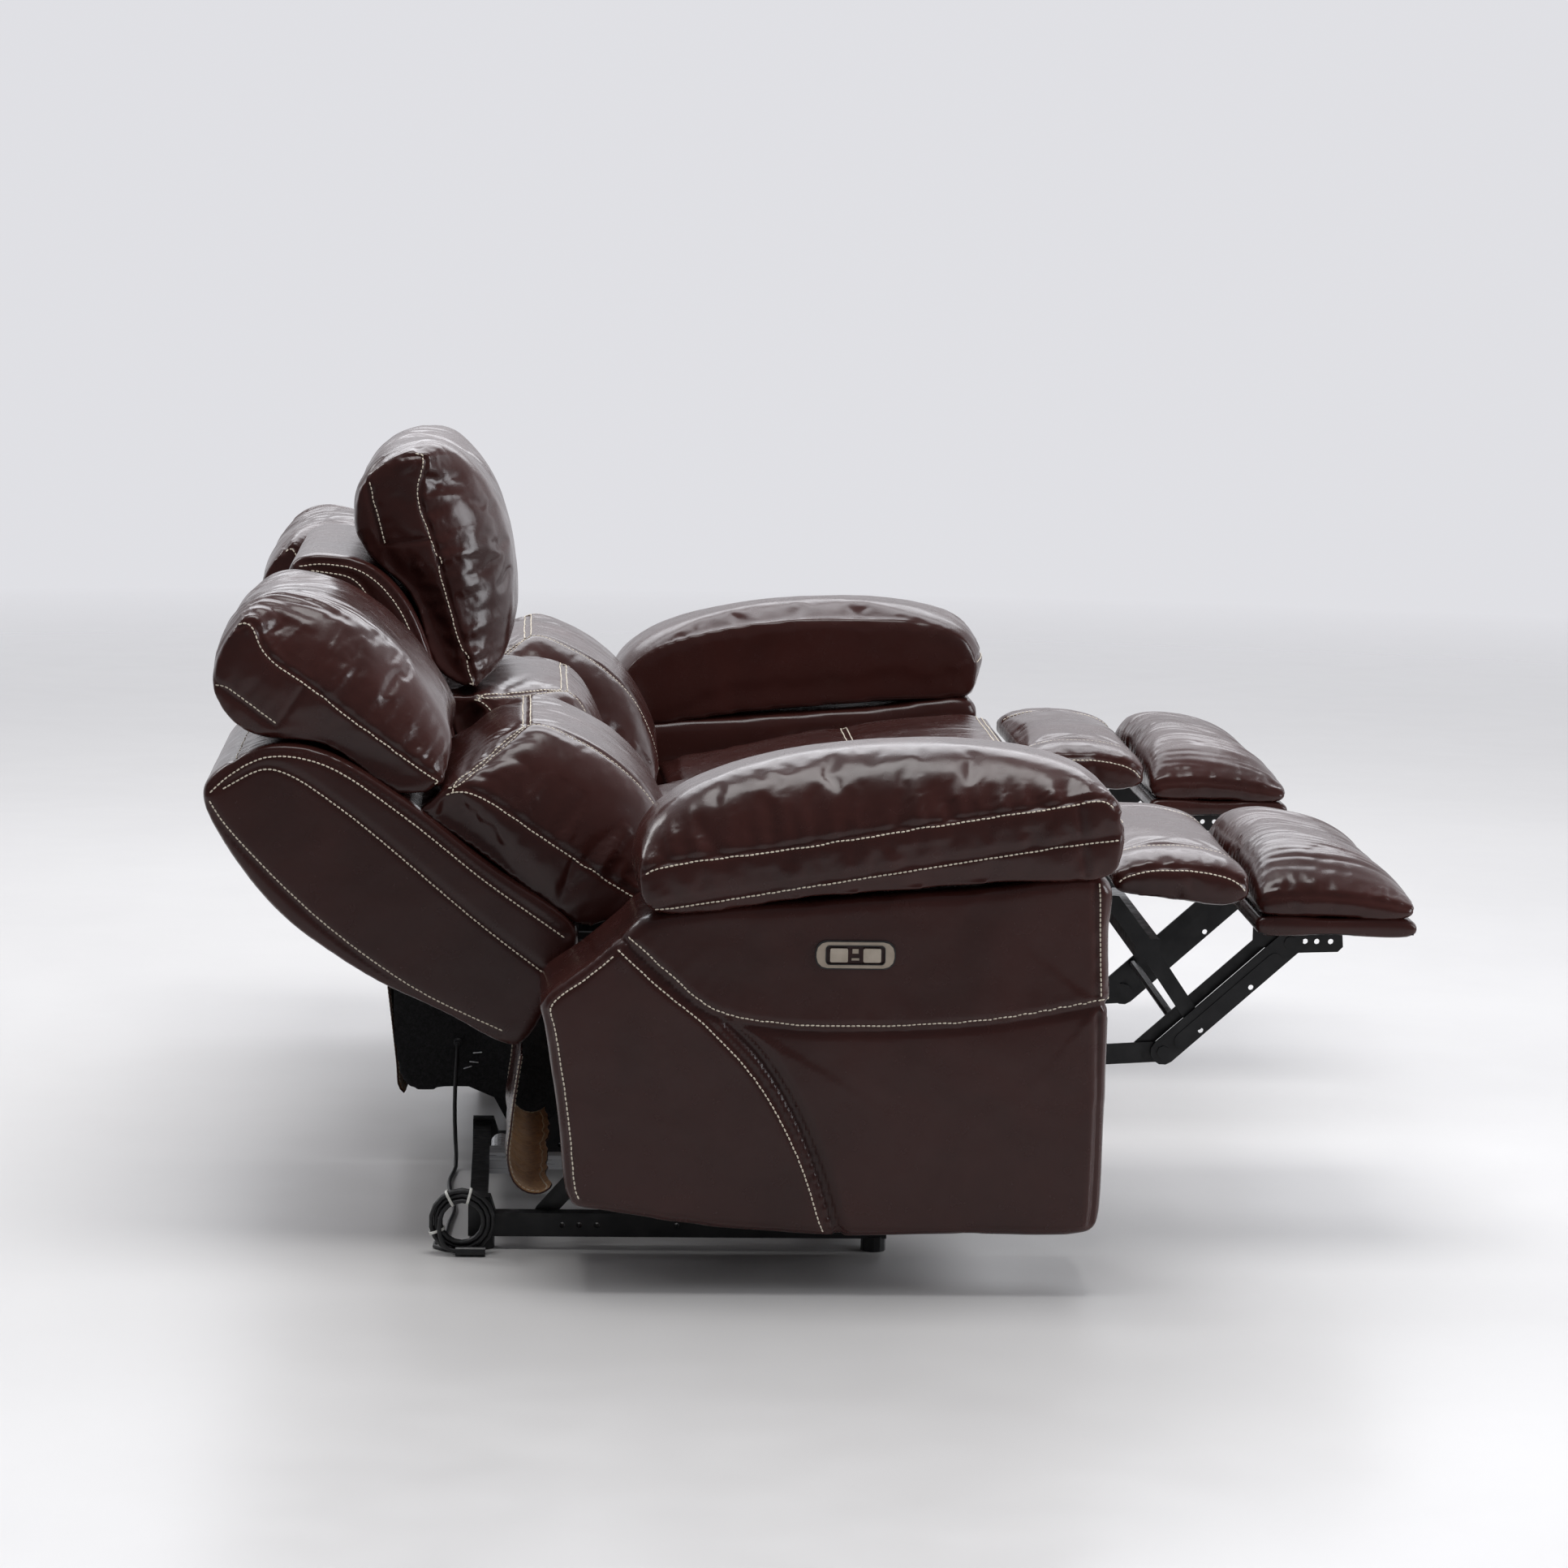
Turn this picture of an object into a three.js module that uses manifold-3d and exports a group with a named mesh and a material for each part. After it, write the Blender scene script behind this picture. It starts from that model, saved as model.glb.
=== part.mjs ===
// Three-seat power reclining sofa: two zero-wall recliners either side of a fixed middle seat.
// Millimetres, +Z up, +X towards the front, +Y towards the sitter's left. The origin is on the
// floor, under the middle of the sofa. Both recliners are drawn fully open.
import * as THREE from "three";
import { mergeVertices } from "three/addons/utils/BufferGeometryUtils.js";
import Module from "manifold-3d";

const wasm = await Module();
wasm.setup();

// ---------------------------------------------------------------- driving dimensions
const SEAT_WIDTH = 570;
const ARM_WIDTH = 250;
const MIDDLE_EDGE = SEAT_WIDTH / 2;
const ARM_EDGE = MIDDLE_EDGE + SEAT_WIDTH;
const OUTSIDE = ARM_EDGE + ARM_WIDTH;
const SLIDE = 200; // how far a recliner rolls forward as it opens
const RECLINE = 37; // how far its back leans from upright, degrees

// Swing links: a parallelogram that carries the seat forward.
const SWING_LENGTH = 150;
const SWING_FRONT = [20, 45];
const SWING_REAR = [-360, 45];
const SWING_REACH = SLIDE / 2;
const SWING_RISE = Math.sqrt(SWING_LENGTH ** 2 - SWING_REACH ** 2);

// Back hinge and legrest pivots, as [x, z] with the recliner open.
const BACK_HINGE = [-290, 312];
const LOWER_PIVOT = [247, 480];
const UPPER_PIVOT = [281, 485];
const KNEE = [481, 271]; // lower link to long link
const STAY_KNEE = [449, 276]; // lower link to stay
const FOOT_PIVOT = [651, 424]; // long link to foot bracket
const STAY_TOP = [619, 429]; // stay to foot bracket
const CROSS_OFFSET = 60; // upper link to long link, along the long link from the knee

// Depths of the mechanism's layers, measured in from a seat's edge.
const RAIL = [14, 40];
const SWING = [42, 46];
const SIDE_PLATE = [48, 52];
const BACK_PLATE = [54, 58];
const LONG_LINK = [55, 59];
const CRANKS = [61, 65];
const STAYS = [67, 71];

const GAP = 0.3;
const CUSHION_INSET = 11;

// ---------------------------------------------------------------- materials
const finish = (name, color, roughness, metalness = 0) =>
  new THREE.MeshStandardMaterial({ name, color, roughness, metalness });

const leather = () => finish("leather", 0x2b1310, 0.32);
const blackSteel = () => finish("black_steel", 0x141414, 0.45, 0.7);
const champagne = () => finish("champagne_trim", 0xa89a86, 0.35, 0.6);
const silver = () => finish("aluminium", 0xb9bcc0, 0.3, 0.9);
const liner = () => finish("black_liner", 0x17171a, 0.9);
const blackPlastic = () => finish("black_plastic", 0x121212, 0.5);

// ---------------------------------------------------------------- solids
function solidOf(geometry) {
  const bare = geometry.clone();
  bare.deleteAttribute("normal");
  bare.deleteAttribute("uv");
  const merged = mergeVertices(bare, 1e-4);
  return new wasm.Manifold(new wasm.Mesh({
    numProp: 3,
    vertProperties: new Float32Array(merged.attributes.position.array),
    triVerts: new Uint32Array(merged.index.array),
  }));
}

function geometryOf(solid) {
  const mesh = solid.getMesh();
  const geometry = new THREE.BufferGeometry();
  geometry.setAttribute("position", new THREE.BufferAttribute(mesh.vertProperties, 3));
  geometry.setIndex(new THREE.BufferAttribute(mesh.triVerts, 1));
  geometry.computeVertexNormals();
  return geometry;
}

const joined = (...pieces) => geometryOf(pieces.map(solidOf).reduce((a, b) => a.add(b)));

const cut = (piece, ...tools) => geometryOf(tools.map(solidOf).reduce((a, b) => a.subtract(b), solidOf(piece)));

// An outline in the x-z plane, extruded from one y to another.
function slab(outline, yFrom, yTo) {
  const low = Math.min(yFrom, yTo);
  const depth = Math.abs(yTo - yFrom);
  const geometry = new THREE.ExtrudeGeometry(outline, { depth, bevelEnabled: false });
  return geometry.rotateX(Math.PI / 2).translate(0, low + depth, 0);
}

// The same with its edges rounded over, for upholstered pieces.
function softSlab(outline, yFrom, yTo, round) {
  const low = Math.min(yFrom, yTo);
  const depth = Math.abs(yTo - yFrom);
  const geometry = new THREE.ExtrudeGeometry(outline, {
    depth: depth - 2 * round,
    bevelEnabled: true,
    bevelThickness: round,
    bevelSize: round,
    bevelOffset: -round,
    bevelSegments: 1,
  });
  return geometry.rotateX(Math.PI / 2).translate(0, low + depth - round, 0);
}

function box(xFrom, xTo, yFrom, yTo, zFrom, zTo) {
  const geometry = new THREE.BoxGeometry(xTo - xFrom, Math.abs(yTo - yFrom), zTo - zFrom);
  return geometry.translate((xFrom + xTo) / 2, (yFrom + yTo) / 2, (zFrom + zTo) / 2);
}

// A round bar along y.
function rod([x, z], radius, yFrom, yTo, sides = 8) {
  const geometry = new THREE.CylinderGeometry(radius, radius, Math.abs(yTo - yFrom), sides);
  return geometry.translate(0, (yFrom + yTo) / 2, 0).translate(x, 0, z);
}

// A round post along z.
function post(x, y, radius, zFrom, zTo, sides = 12) {
  const geometry = new THREE.CylinderGeometry(radius, radius, zTo - zFrom, sides).rotateX(Math.PI / 2);
  return geometry.translate(x, y, (zFrom + zTo) / 2);
}

// ---------------------------------------------------------------- outlines
function polygon(points) {
  const corners = points.map(([x, z]) => new THREE.Vector2(x, z));
  return new THREE.Shape(THREE.ShapeUtils.isClockWise(corners) ? corners.reverse() : corners);
}

// A smooth closed outline through a few points.
function rounded(points, count = 22) {
  const knots = points.map(([x, z]) => new THREE.Vector3(x, z, 0));
  const curve = new THREE.CatmullRomCurve3(knots, true, "centripetal");
  const around = curve.getSpacedPoints(count).slice(0, -1);
  return polygon(around.map((point) => [point.x, point.y]));
}

function arc([x, z], radius, from, to, steps = 6) {
  return Array.from({ length: steps + 1 }, (_, i) => {
    const angle = from + (to - from) * i / steps;
    return [x + radius * Math.cos(angle), z + radius * Math.sin(angle)];
  });
}

// A flat bar with round ends that follows a path of pivots and bends.
function bar(path, half) {
  const angle = (a, b) => Math.atan2(b[1] - a[1], b[0] - a[0]);
  const headings = path.slice(1).map((point, i) => angle(path[i], point));
  const bends = (sign) => path.slice(1, -1).map(([x, z], i) => {
    const middle = (headings[i] + headings[i + 1]) / 2 + sign * Math.PI / 2;
    const reach = half / Math.cos((headings[i + 1] - headings[i]) / 2);
    return [x + reach * Math.cos(middle), z + reach * Math.sin(middle)];
  });
  const first = headings[0];
  const last = headings[headings.length - 1];
  return polygon([
    ...bends(1),
    ...arc(path[path.length - 1], half, last + Math.PI / 2, last - Math.PI / 2),
    ...bends(-1).reverse(),
    ...arc(path[0], half, first - Math.PI / 2, first - 1.5 * Math.PI),
  ]);
}

function drilled(shape, centres, radius) {
  for (const centre of centres) {
    const rim = arc(centre, radius, 0, -2 * Math.PI, 8).slice(1);
    shape.holes.push(new THREE.Path(rim.map(([x, z]) => new THREE.Vector2(x, z))));
  }
  return shape;
}

function roundedBox([x, z], width, height, radius) {
  const right = width / 2 - radius;
  const top = height / 2 - radius;
  const corner = (dx, dz, from) => arc([x + dx, z + dz], radius, from, from + Math.PI / 2, 3);
  return polygon([
    ...corner(right, top, 0),
    ...corner(-right, top, Math.PI / 2),
    ...corner(-right, -top, Math.PI),
    ...corner(right, -top, 1.5 * Math.PI),
  ]);
}

const along = ([x0, z0], [x1, z1], distance) => {
  const length = Math.hypot(x1 - x0, z1 - z0);
  return [x0 + (x1 - x0) * distance / length, z0 + (z1 - z0) * distance / length];
};

// The middle seat's back is a recliner's back swung upright and rolled to the rear.
function upright(points) {
  const turn = THREE.MathUtils.degToRad(RECLINE);
  return points.map(([x, z]) => {
    const dx = x - BACK_HINGE[0];
    const dz = z - BACK_HINGE[1];
    return [
      BACK_HINGE[0] + dx * Math.cos(turn) + dz * Math.sin(turn) - SLIDE,
      BACK_HINGE[1] - dx * Math.sin(turn) + dz * Math.cos(turn),
    ];
  });
}

const SHELL = [
  [-822, 614], [-806, 644], [-735, 684], [-659, 674], [-551, 604], [-442, 519], [-322, 436],
  [-314, 420], [-331, 388], [-392, 282], [-404, 278], [-614, 380], [-734, 472],
];
const HEAD = [
  [-744, 692], [-659, 684], [-562, 618], [-505, 640], [-488, 674], [-512, 724], [-560, 788],
  [-627, 846], [-690, 873], [-747, 876], [-789, 834], [-811, 770], [-793, 722],
];
const LUMBAR = [
  [-540, 608], [-496, 622], [-454, 660], [-420, 688], [-378, 706], [-327, 688], [-262, 648],
  [-212, 592], [-184, 510], [-186, 468], [-245, 458], [-306, 446], [-330, 454], [-442, 534],
];

// ---------------------------------------------------------------- assembly
const group = new THREE.Group();

function add(name, geometry, material) {
  const mesh = new THREE.Mesh(geometry, material);
  mesh.name = name;
  group.add(mesh);
}

// Everything on one recliner. side is -1 on the sitter's right and +1 on the left, and depths are
// distances from the sofa's middle plane, so both recliners come from the same lines.
function recliner(prefix, side) {
  const named = (name, geometry, material) => add(`${prefix}_${name}`, geometry, material);
  const innerAt = (depth) => side * (MIDDLE_EDGE + depth);
  const outerAt = (depth) => side * (ARM_EDGE - depth);
  const bothEdges = (make, [from, to]) => [
    make(innerAt(from), innerAt(to)),
    make(outerAt(from), outerAt(to)),
  ];
  const pair = (shape, layer) => bothEdges((a, b) => slab(shape, a, b), layer);
  const rivets = (centre, radius, layer) => bothEdges((a, b) => rod(centre, radius, a, b), layer);
  const across = (depth, make) => make(innerAt(depth), outerAt(depth));
  const swingTop = ([x, z]) => [x + SWING_REACH, z + SWING_RISE];

  // Base: two drilled side rails with upturned rear ends, on round feet, tied by two box tubes.
  const railOutline = drilled(
    polygon([[-462, 18], [105, 18], [105, 44], [90, 50], [-425, 50], [-432, 72], [-462, 72]]),
    [[-335, 34], [-312, 34], [-288, 34], [-180, 34], [-40, 34]],
    4,
  );
  const feet = [-443, 88].flatMap((x) => [innerAt(27), outerAt(27)].map((y) => post(x, y, 17, 0, 20)));
  named("base_frame", joined(
    ...pair(railOutline, RAIL),
    ...feet,
    across(RAIL[0], (a, b) => box(-460, -436, a, b, 46, 70)),
    across(RAIL[0], (a, b) => box(78, 102, a, b, 20, 44)),
    ...rivets(SWING_REAR, 8, [RAIL[1] - 1, SWING[0] - GAP]),
    ...rivets(SWING_FRONT, 8, [RAIL[1] - 1, SWING[0] - GAP]),
  ), blackSteel());

  // Swing links: a pair of flat bars and the tube that ties them.
  const swingTube = 105;
  const swingPair = (foot) => joined(
    ...pair(bar([foot, swingTop(foot)], 13), SWING),
    across(SWING[0] + 1, (a, b) => rod(along(foot, swingTop(foot), swingTube), 8, a, b)),
    ...rivets(swingTop(foot), 8, [SWING[0] - 2, SWING[0] + 1]),
  );
  named("front_swing_links", swingPair(SWING_FRONT), blackSteel());
  named("rear_swing_links", swingPair(SWING_REAR), blackSteel());

  // Carriage: side plates with a strut down to each swing link, and two cross tubes under the seat.
  const seatRail = bar([BACK_HINGE, [-215, 335], [-80, 335], [60, 400], LOWER_PIVOT, UPPER_PIVOT], 15);
  const rearStrut = bar([swingTop(SWING_REAR), [-262, 325]], 14);
  const frontStrut = bar([swingTop(SWING_FRONT), [92, 410]], 14);
  const seatTube = [150, 450];
  named("carriage_frame", joined(
    ...pair(seatRail, SIDE_PLATE),
    ...pair(rearStrut, SIDE_PLATE),
    ...pair(frontStrut, SIDE_PLATE),
    across(SIDE_PLATE[0] + 1, (a, b) => rod([-215, 335], 11, a, b)),
    across(SIDE_PLATE[0] + 1, (a, b) => rod(seatTube, 11, a, b)),
    ...rivets(swingTop(SWING_REAR), 9, [SWING[1] + GAP, SIDE_PLATE[0] + 1]),
    ...rivets(swingTop(SWING_FRONT), 9, [SWING[1] + GAP, SIDE_PLATE[0] + 1]),
    ...rivets(BACK_HINGE, 9, [SIDE_PLATE[1] - 1, BACK_PLATE[0] - GAP]),
    ...rivets(LOWER_PIVOT, 9, [SIDE_PLATE[1] - 1, CRANKS[0] - GAP]),
    ...rivets(UPPER_PIVOT, 8, [SIDE_PLATE[1] - 1, CRANKS[0] - GAP]),
  ), blackSteel());

  // Legrest linkage.
  const crossPivot = along(KNEE, FOOT_PIVOT, CROSS_OFFSET);
  const lowerLink = bar([LOWER_PIVOT, [398, 266], KNEE], 14);
  named("lower_links", joined(
    ...pair(lowerLink, CRANKS),
    across(CRANKS[0] + 1, (a, b) => rod([390, 277], 9, a, b)),
    ...rivets(STAY_KNEE, 8, [CRANKS[1] - 1, STAYS[0] - GAP]),
    ...rivets(KNEE, 9, [LONG_LINK[1] + GAP, CRANKS[0] + 1]),
  ), blackSteel());

  const upperLink = bar([UPPER_PIVOT, [350, 476], [410, 474], [456, 413], crossPivot], 11);
  named("upper_links", joined(
    ...pair(upperLink, CRANKS),
    across(CRANKS[0], (a, b) => box(439, 473, a, b, 401, 426)),
    ...rivets(crossPivot, 8, [LONG_LINK[1] + GAP, CRANKS[0] + 1]),
  ), blackSteel());

  const longAngle = Math.atan2(FOOT_PIVOT[1] - KNEE[1], FOOT_PIVOT[0] - KNEE[0]);
  const longSide = ([x, z], shift) => [x + shift * Math.sin(longAngle), z - shift * Math.cos(longAngle)];
  const lightening = [58, 148].map((distance) => longSide(along(KNEE, FOOT_PIVOT, distance), 11));
  const longPlate = drilled(bar([KNEE, FOOT_PIVOT], 17.5), lightening, 4);
  const stiffener = drilled(
    bar([longSide(along(KNEE, FOOT_PIVOT, 30), 5), longSide(along(KNEE, FOOT_PIVOT, 196), 5)], 11),
    lightening,
    4,
  );
  const longLink = (edgeAt) => joined(
    slab(longPlate, edgeAt(LONG_LINK[0]), edgeAt(LONG_LINK[1])),
    slab(stiffener, edgeAt(LONG_LINK[0] - 1.6), edgeAt(LONG_LINK[0] + 1)),
    rod(KNEE, 9, edgeAt(LONG_LINK[0] - 2), edgeAt(LONG_LINK[0] + 1)),
    rod(FOOT_PIVOT, 9, edgeAt(LONG_LINK[0] - 2), edgeAt(LONG_LINK[0] + 1)),
  );
  named("inner_long_link", longLink(innerAt), blackSteel());
  named("outer_long_link", longLink(outerAt), blackSteel());

  named("stay_links", joined(
    ...pair(bar([STAY_KNEE, STAY_TOP], 9), STAYS),
    across(STAYS[0] + 1, (a, b) => rod(along(STAY_KNEE, STAY_TOP, 60), 6, a, b)),
  ), blackSteel());

  const ottomanPlate = drilled(
    polygon([[600, 444], [722, 444], [724, 418], [717, 411], [655, 409], [640, 411], [608, 418], [600, 426]]),
    [[672, 425], [688, 425], [707, 425]],
    4,
  );
  named("foot_bracket", joined(
    ...pair(ottomanPlate, CRANKS),
    across(CUSHION_INSET + 4, (a, b) => box(602, 812, a, b, 442.5, 452)),
    ...rivets(STAY_TOP, 8, [CRANKS[1] - 1, STAYS[0] - GAP]),
    ...rivets(FOOT_PIVOT, 9, [LONG_LINK[1] + GAP, CRANKS[0] + 1]),
  ), blackSteel());

  // Legrest upholstery.
  const footOutline = rounded([
    [602, 460], [597, 500], [604, 540], [640, 552], [690, 548], [754, 530], [802, 500], [820, 476], [808, 461],
    [700, 459],
  ]);
  named("foot_pad", across(CUSHION_INSET, (a, b) => softSlab(footOutline, a, b, 12)), leather());
  const calfOutline = rounded([
    [407, 503], [403, 536], [440, 548], [510, 543], [562, 528], [584, 500], [583, 478], [540, 482], [470, 493],
  ]);
  named("calf_pad", across(CUSHION_INSET, (a, b) => softSlab(calfOutline, a, b, 12)), leather());

  // Seat cushion: a full-width top over a core that drops between the mechanism's side plates and
  // is notched over the front seat tube.
  const seatTop = polygon([
    [-58, 388], [-58, 452], [-44, 472], [0, 482], [140, 512], [300, 526], [374, 533], [388, 524], [388, 510],
    [215, 506], [60, 442],
  ]);
  const seatCore = polygon([[-54, 400], [60, 402], [215, 420], [296, 440], [314, 500], [314, 512], [-54, 450]]);
  const seatBody = joined(
    across(CUSHION_INSET, (a, b) => softSlab(seatTop, a, b, 6)),
    across(STAYS[1] + 10, (a, b) => slab(seatCore, a, b)),
  );
  const seatNotch = across(CUSHION_INSET, (a, b) => rod(seatTube, 12, a, b));
  named("seat_cushion", cut(seatBody, seatNotch), leather());

  // Arm: boxed body with the switch pocket in its outer face, and a bolster on top.
  const armFace = side * (OUTSIDE - 7);
  const switchCentre = [37, 453];
  const armOutline = polygon([
    [-369, 384], [-362, 350], [-330, 124], [-322, 116], [-119, 86], [19, 79], [350, 84], [359, 92], [370, 380],
    [365, 551], [-236, 497], [-266, 472],
  ]);
  const pocket = slab(roundedBox(switchCentre, 86, 31, 6), side * (OUTSIDE - 18), side * OUTSIDE);
  named("arm_body", cut(softSlab(armOutline, side * (ARM_EDGE + 1), armFace, 12), pocket), leather());

  const padOutline = rounded([
    [-228, 508], [-250, 560], [-232, 614], [-169, 660], [-23, 698], [166, 711], [282, 702], [357, 677],
    [383, 640], [382, 592], [368, 564], [220, 551], [0, 531],
  ], 28);
  named("arm_pad", softSlab(padOutline, side * (ARM_EDGE + 1), side * OUTSIDE, 30), leather());

  // Switch: a rounded plate with a dished recess, a fixed centre tell-tale and two push buttons.
  const plateBack = side * (OUTSIDE - 7 + GAP);
  const plateFront = side * (OUTSIDE - 2.5);
  const recessFloor = side * (OUTSIDE - 12);
  const bezel = roundedBox(switchCentre, 101, 34, 14);
  const recess = slab(roundedBox(switchCentre, 76, 24, 5), recessFloor, side * (OUTSIDE + 1));
  const tray = slab(roundedBox(switchCentre, 84, 29, 5.5), side * (OUTSIDE - 15), plateFront);
  const marker = (x0, x1, z0, z1) => box(x0, x1, side * (OUTSIDE - 13), side * (OUTSIDE - 4), z0, z1);
  named("control_plate", joined(
    cut(joined(slab(bezel, plateBack, plateFront), tray), recess),
    marker(33, 41, 455, 461),
    marker(32, 42, 446, 449),
  ), champagne());
  const buttonFoot = side * (OUTSIDE - 9);
  const buttonTop = side * OUTSIDE;
  const button = (x) => slab(roundedBox([x, switchCentre[1]], 23, 18, 2), buttonFoot, buttonTop);
  named("close_button", button(switchCentre[0] - 21.5), champagne());
  named("open_button", button(switchCentre[0] + 21.5), champagne());

  // Back: hinge brackets with their tie tube, in slots in the padded shell, and two cushions.
  const bracketPath = [BACK_HINGE, [-340, 345], [-470, 470]];
  named("back_frame", joined(
    ...pair(bar(bracketPath, 12), BACK_PLATE),
    across(BACK_PLATE[0] + 1, (a, b) => rod([-316, 329], 9, a, b)),
  ), blackSteel());
  const slotHalf = 13;
  const slots = pair(bar(bracketPath, slotHalf), [BACK_PLATE[0] - 1, BACK_PLATE[1] + 1]);
  const shell = across(CUSHION_INSET, (a, b) => softSlab(polygon(SHELL), a, b, 8));
  named("back_shell", cut(shell, ...slots), leather());
  named("head_cushion", across(21, (a, b) => softSlab(rounded(HEAD), a, b, 22)), leather());
  named("lumbar_cushion", across(17, (a, b) => softSlab(rounded(LUMBAR), a, b, 14)), leather());
  named("back_skirt", across(15, (a, b) => box(-400, -396, a, b, 84, 270)), leather());

  // Actuator: gearbox and motor at the rear tube, with its screw rail reaching the front tube.
  const centre = side * (MIDDLE_EDGE + SEAT_WIDTH / 2);
  named("actuator", joined(
    box(-435.7, -405, centre - 24, centre + 24, 50, 80),
    rod([-420, 65], 15, centre + 20, centre + 110, 18),
    box(-406, 60, centre - 13, centre + 13, 54, 74),
    box(56, 77.7, centre - 16, centre + 16, 26, 74),
  ), silver());
}

function middleSeat() {
  const edge = MIDDLE_EDGE - CUSHION_INSET;

  // Base: a ring of four boards, open above and below, on four feet.
  const board = 14;
  const sideOutline = polygon([
    [-560, 112], [-470, 110], [-432, 94], [-400, 35], [150, 35], [150, 397], [-255, 397], [-262, 340],
    [-560, 340],
  ]);
  add("middle_base", joined(
    slab(sideOutline, -edge, -edge + board),
    slab(sideOutline, edge - board, edge),
    box(-560, -560 + board, -edge + 1, edge - 1, 114, 339),
    box(150 - board, 150, -edge + 1, edge - 1, 36, 396),
    ...[-370, 130].flatMap((x) => [-1, 1].map((s) => post(x, s * (edge - 16), 15.8, 0, 60))),
  ), liner());

  const roll = rounded([
    [162, 306], [190, 307], [222, 360], [228, 430], [206, 490], [168, 494], [157, 440], [156, 370],
  ]);
  add("middle_front_roll", softSlab(roll, -edge, edge, 12), leather());
  const panel = rounded([
    [162, 84], [178, 84], [192, 130], [194, 220], [184, 288], [164, 296], [156, 230], [156, 150],
  ]);
  add("middle_front_panel", softSlab(panel, -edge, edge, 8), leather());
  const cushion = polygon([
    [-258, 400], [-258, 456], [-244, 474], [-200, 486], [-60, 516], [100, 530], [180, 535], [200, 524],
    [200, 508], [150, 500], [142, 400],
  ]);
  add("middle_seat_cushion", softSlab(cushion, -edge, edge, 6), leather());
  add("middle_back_shell", softSlab(polygon(upright(SHELL)), -edge, edge, 8), leather());
  const crown = upright(HEAD).map(([x, z]) => [x, z > 980 ? z + 12 : z]);
  add("middle_head_cushion", softSlab(rounded(crown), 10 - edge, edge - 10, 22), leather());
  add("middle_lumbar_cushion", softSlab(rounded(upright(LUMBAR)), 6 - edge, edge - 6, 14), leather());
  add("middle_back_skirt", box(-602, -598, 4 - edge, edge - 4, 96, 340), leather());
}

// Low-voltage lead: out of the middle base, down, along the floor and into a tied coil at the rail.
function powerLead() {
  const radius = 3;
  const exit = new THREE.Vector3(-486, -MIDDLE_EDGE + CUSHION_INSET, 176);
  const relief = new THREE.LatheGeometry([
    [0, 0], [6.5, 0], [6.5, 4], [4.6, 6], [4, 20], [0, 20],
  ].map(([r, h]) => new THREE.Vector2(r, h)), 16);
  relief.rotateX(Math.PI).translate(exit.x, exit.y - GAP, exit.z);
  add("lead_strain_relief", relief, blackPlastic());

  const coilCentre = new THREE.Vector3(-470, -ARM_EDGE - 12, 45);
  const coilMean = 33;
  const coilHalf = 9;
  const coil = new THREE.LatheGeometry(Array.from({ length: 9 }, (_, i) => {
    const turn = (i / 8) * 2 * Math.PI;
    return new THREE.Vector2(coilMean + coilHalf * Math.cos(turn), coilHalf * Math.sin(turn));
  }), 20);
  add("lead_coil", coil.translate(coilCentre.x, coilCentre.y, coilCentre.z), blackPlastic());

  const floor = radius + GAP;
  const route = new THREE.CatmullRomCurve3([
    [exit.x, exit.y - 21, 176], [exit.x, exit.y - 30, 174], [exit.x, exit.y - 36, 162],
    [exit.x - 2, exit.y - 39, 130], [exit.x - 3, exit.y - 41, 90], [exit.x - 2, exit.y - 44, 50],
    [exit.x, exit.y - 50, 20], [exit.x, exit.y - 62, 6], [exit.x - 2, exit.y - 85, floor],
    [exit.x - 8, exit.y - 160, floor], [exit.x - 4, exit.y - 250, floor], [exit.x + 2, exit.y - 340, floor],
    [exit.x - 4, exit.y - 430, floor], [exit.x - 8, exit.y - 500, floor], [exit.x - 18, exit.y - 535, floor],
    [exit.x - 22, exit.y - 556, floor], [exit.x - 18, exit.y - 572, floor],
  ].map((point) => new THREE.Vector3(...point)));
  const section = new THREE.Shape().absarc(0, 0, radius, 0, 2 * Math.PI);
  const lead = new THREE.ExtrudeGeometry(section, { steps: 50, curveSegments: 4, extrudePath: route });
  add("power_lead", lead, blackPlastic());

  const plug = new THREE.CylinderGeometry(6.5, 6.5, 40, 14).rotateZ(Math.PI / 2);
  plug.translate(coilCentre.x + 12, coilCentre.y - coilHalf - 7, 6.8);
  add("lead_plug", plug, blackPlastic());
}

recliner("right", -1);
recliner("left", 1);
middleSeat();
powerLead();

export default group;
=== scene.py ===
"""Three-seat power reclining leather sofa, both end seats reclined with their footrests out."""

import math
from contextlib import contextmanager

import bmesh
import bpy
import numpy as np
from mathutils import Matrix, Vector, noise
from mathutils.bvhtree import BVHTree
from mathutils.kdtree import KDTree


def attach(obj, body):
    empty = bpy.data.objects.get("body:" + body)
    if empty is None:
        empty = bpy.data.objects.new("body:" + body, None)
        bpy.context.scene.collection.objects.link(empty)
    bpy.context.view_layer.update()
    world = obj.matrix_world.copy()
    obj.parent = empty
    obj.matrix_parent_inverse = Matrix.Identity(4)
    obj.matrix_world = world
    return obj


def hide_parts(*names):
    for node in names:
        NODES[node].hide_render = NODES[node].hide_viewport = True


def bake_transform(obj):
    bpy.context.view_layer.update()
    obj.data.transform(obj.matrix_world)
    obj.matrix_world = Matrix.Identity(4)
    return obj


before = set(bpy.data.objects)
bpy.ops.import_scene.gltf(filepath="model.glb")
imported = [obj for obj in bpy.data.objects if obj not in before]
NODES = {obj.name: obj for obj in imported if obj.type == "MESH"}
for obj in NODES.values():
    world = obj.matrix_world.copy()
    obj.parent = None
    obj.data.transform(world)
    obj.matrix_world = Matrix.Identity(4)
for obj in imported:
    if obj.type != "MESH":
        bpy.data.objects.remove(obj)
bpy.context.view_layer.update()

MM = 0.001
SIDES = {"right": -1, "left": 1}
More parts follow.
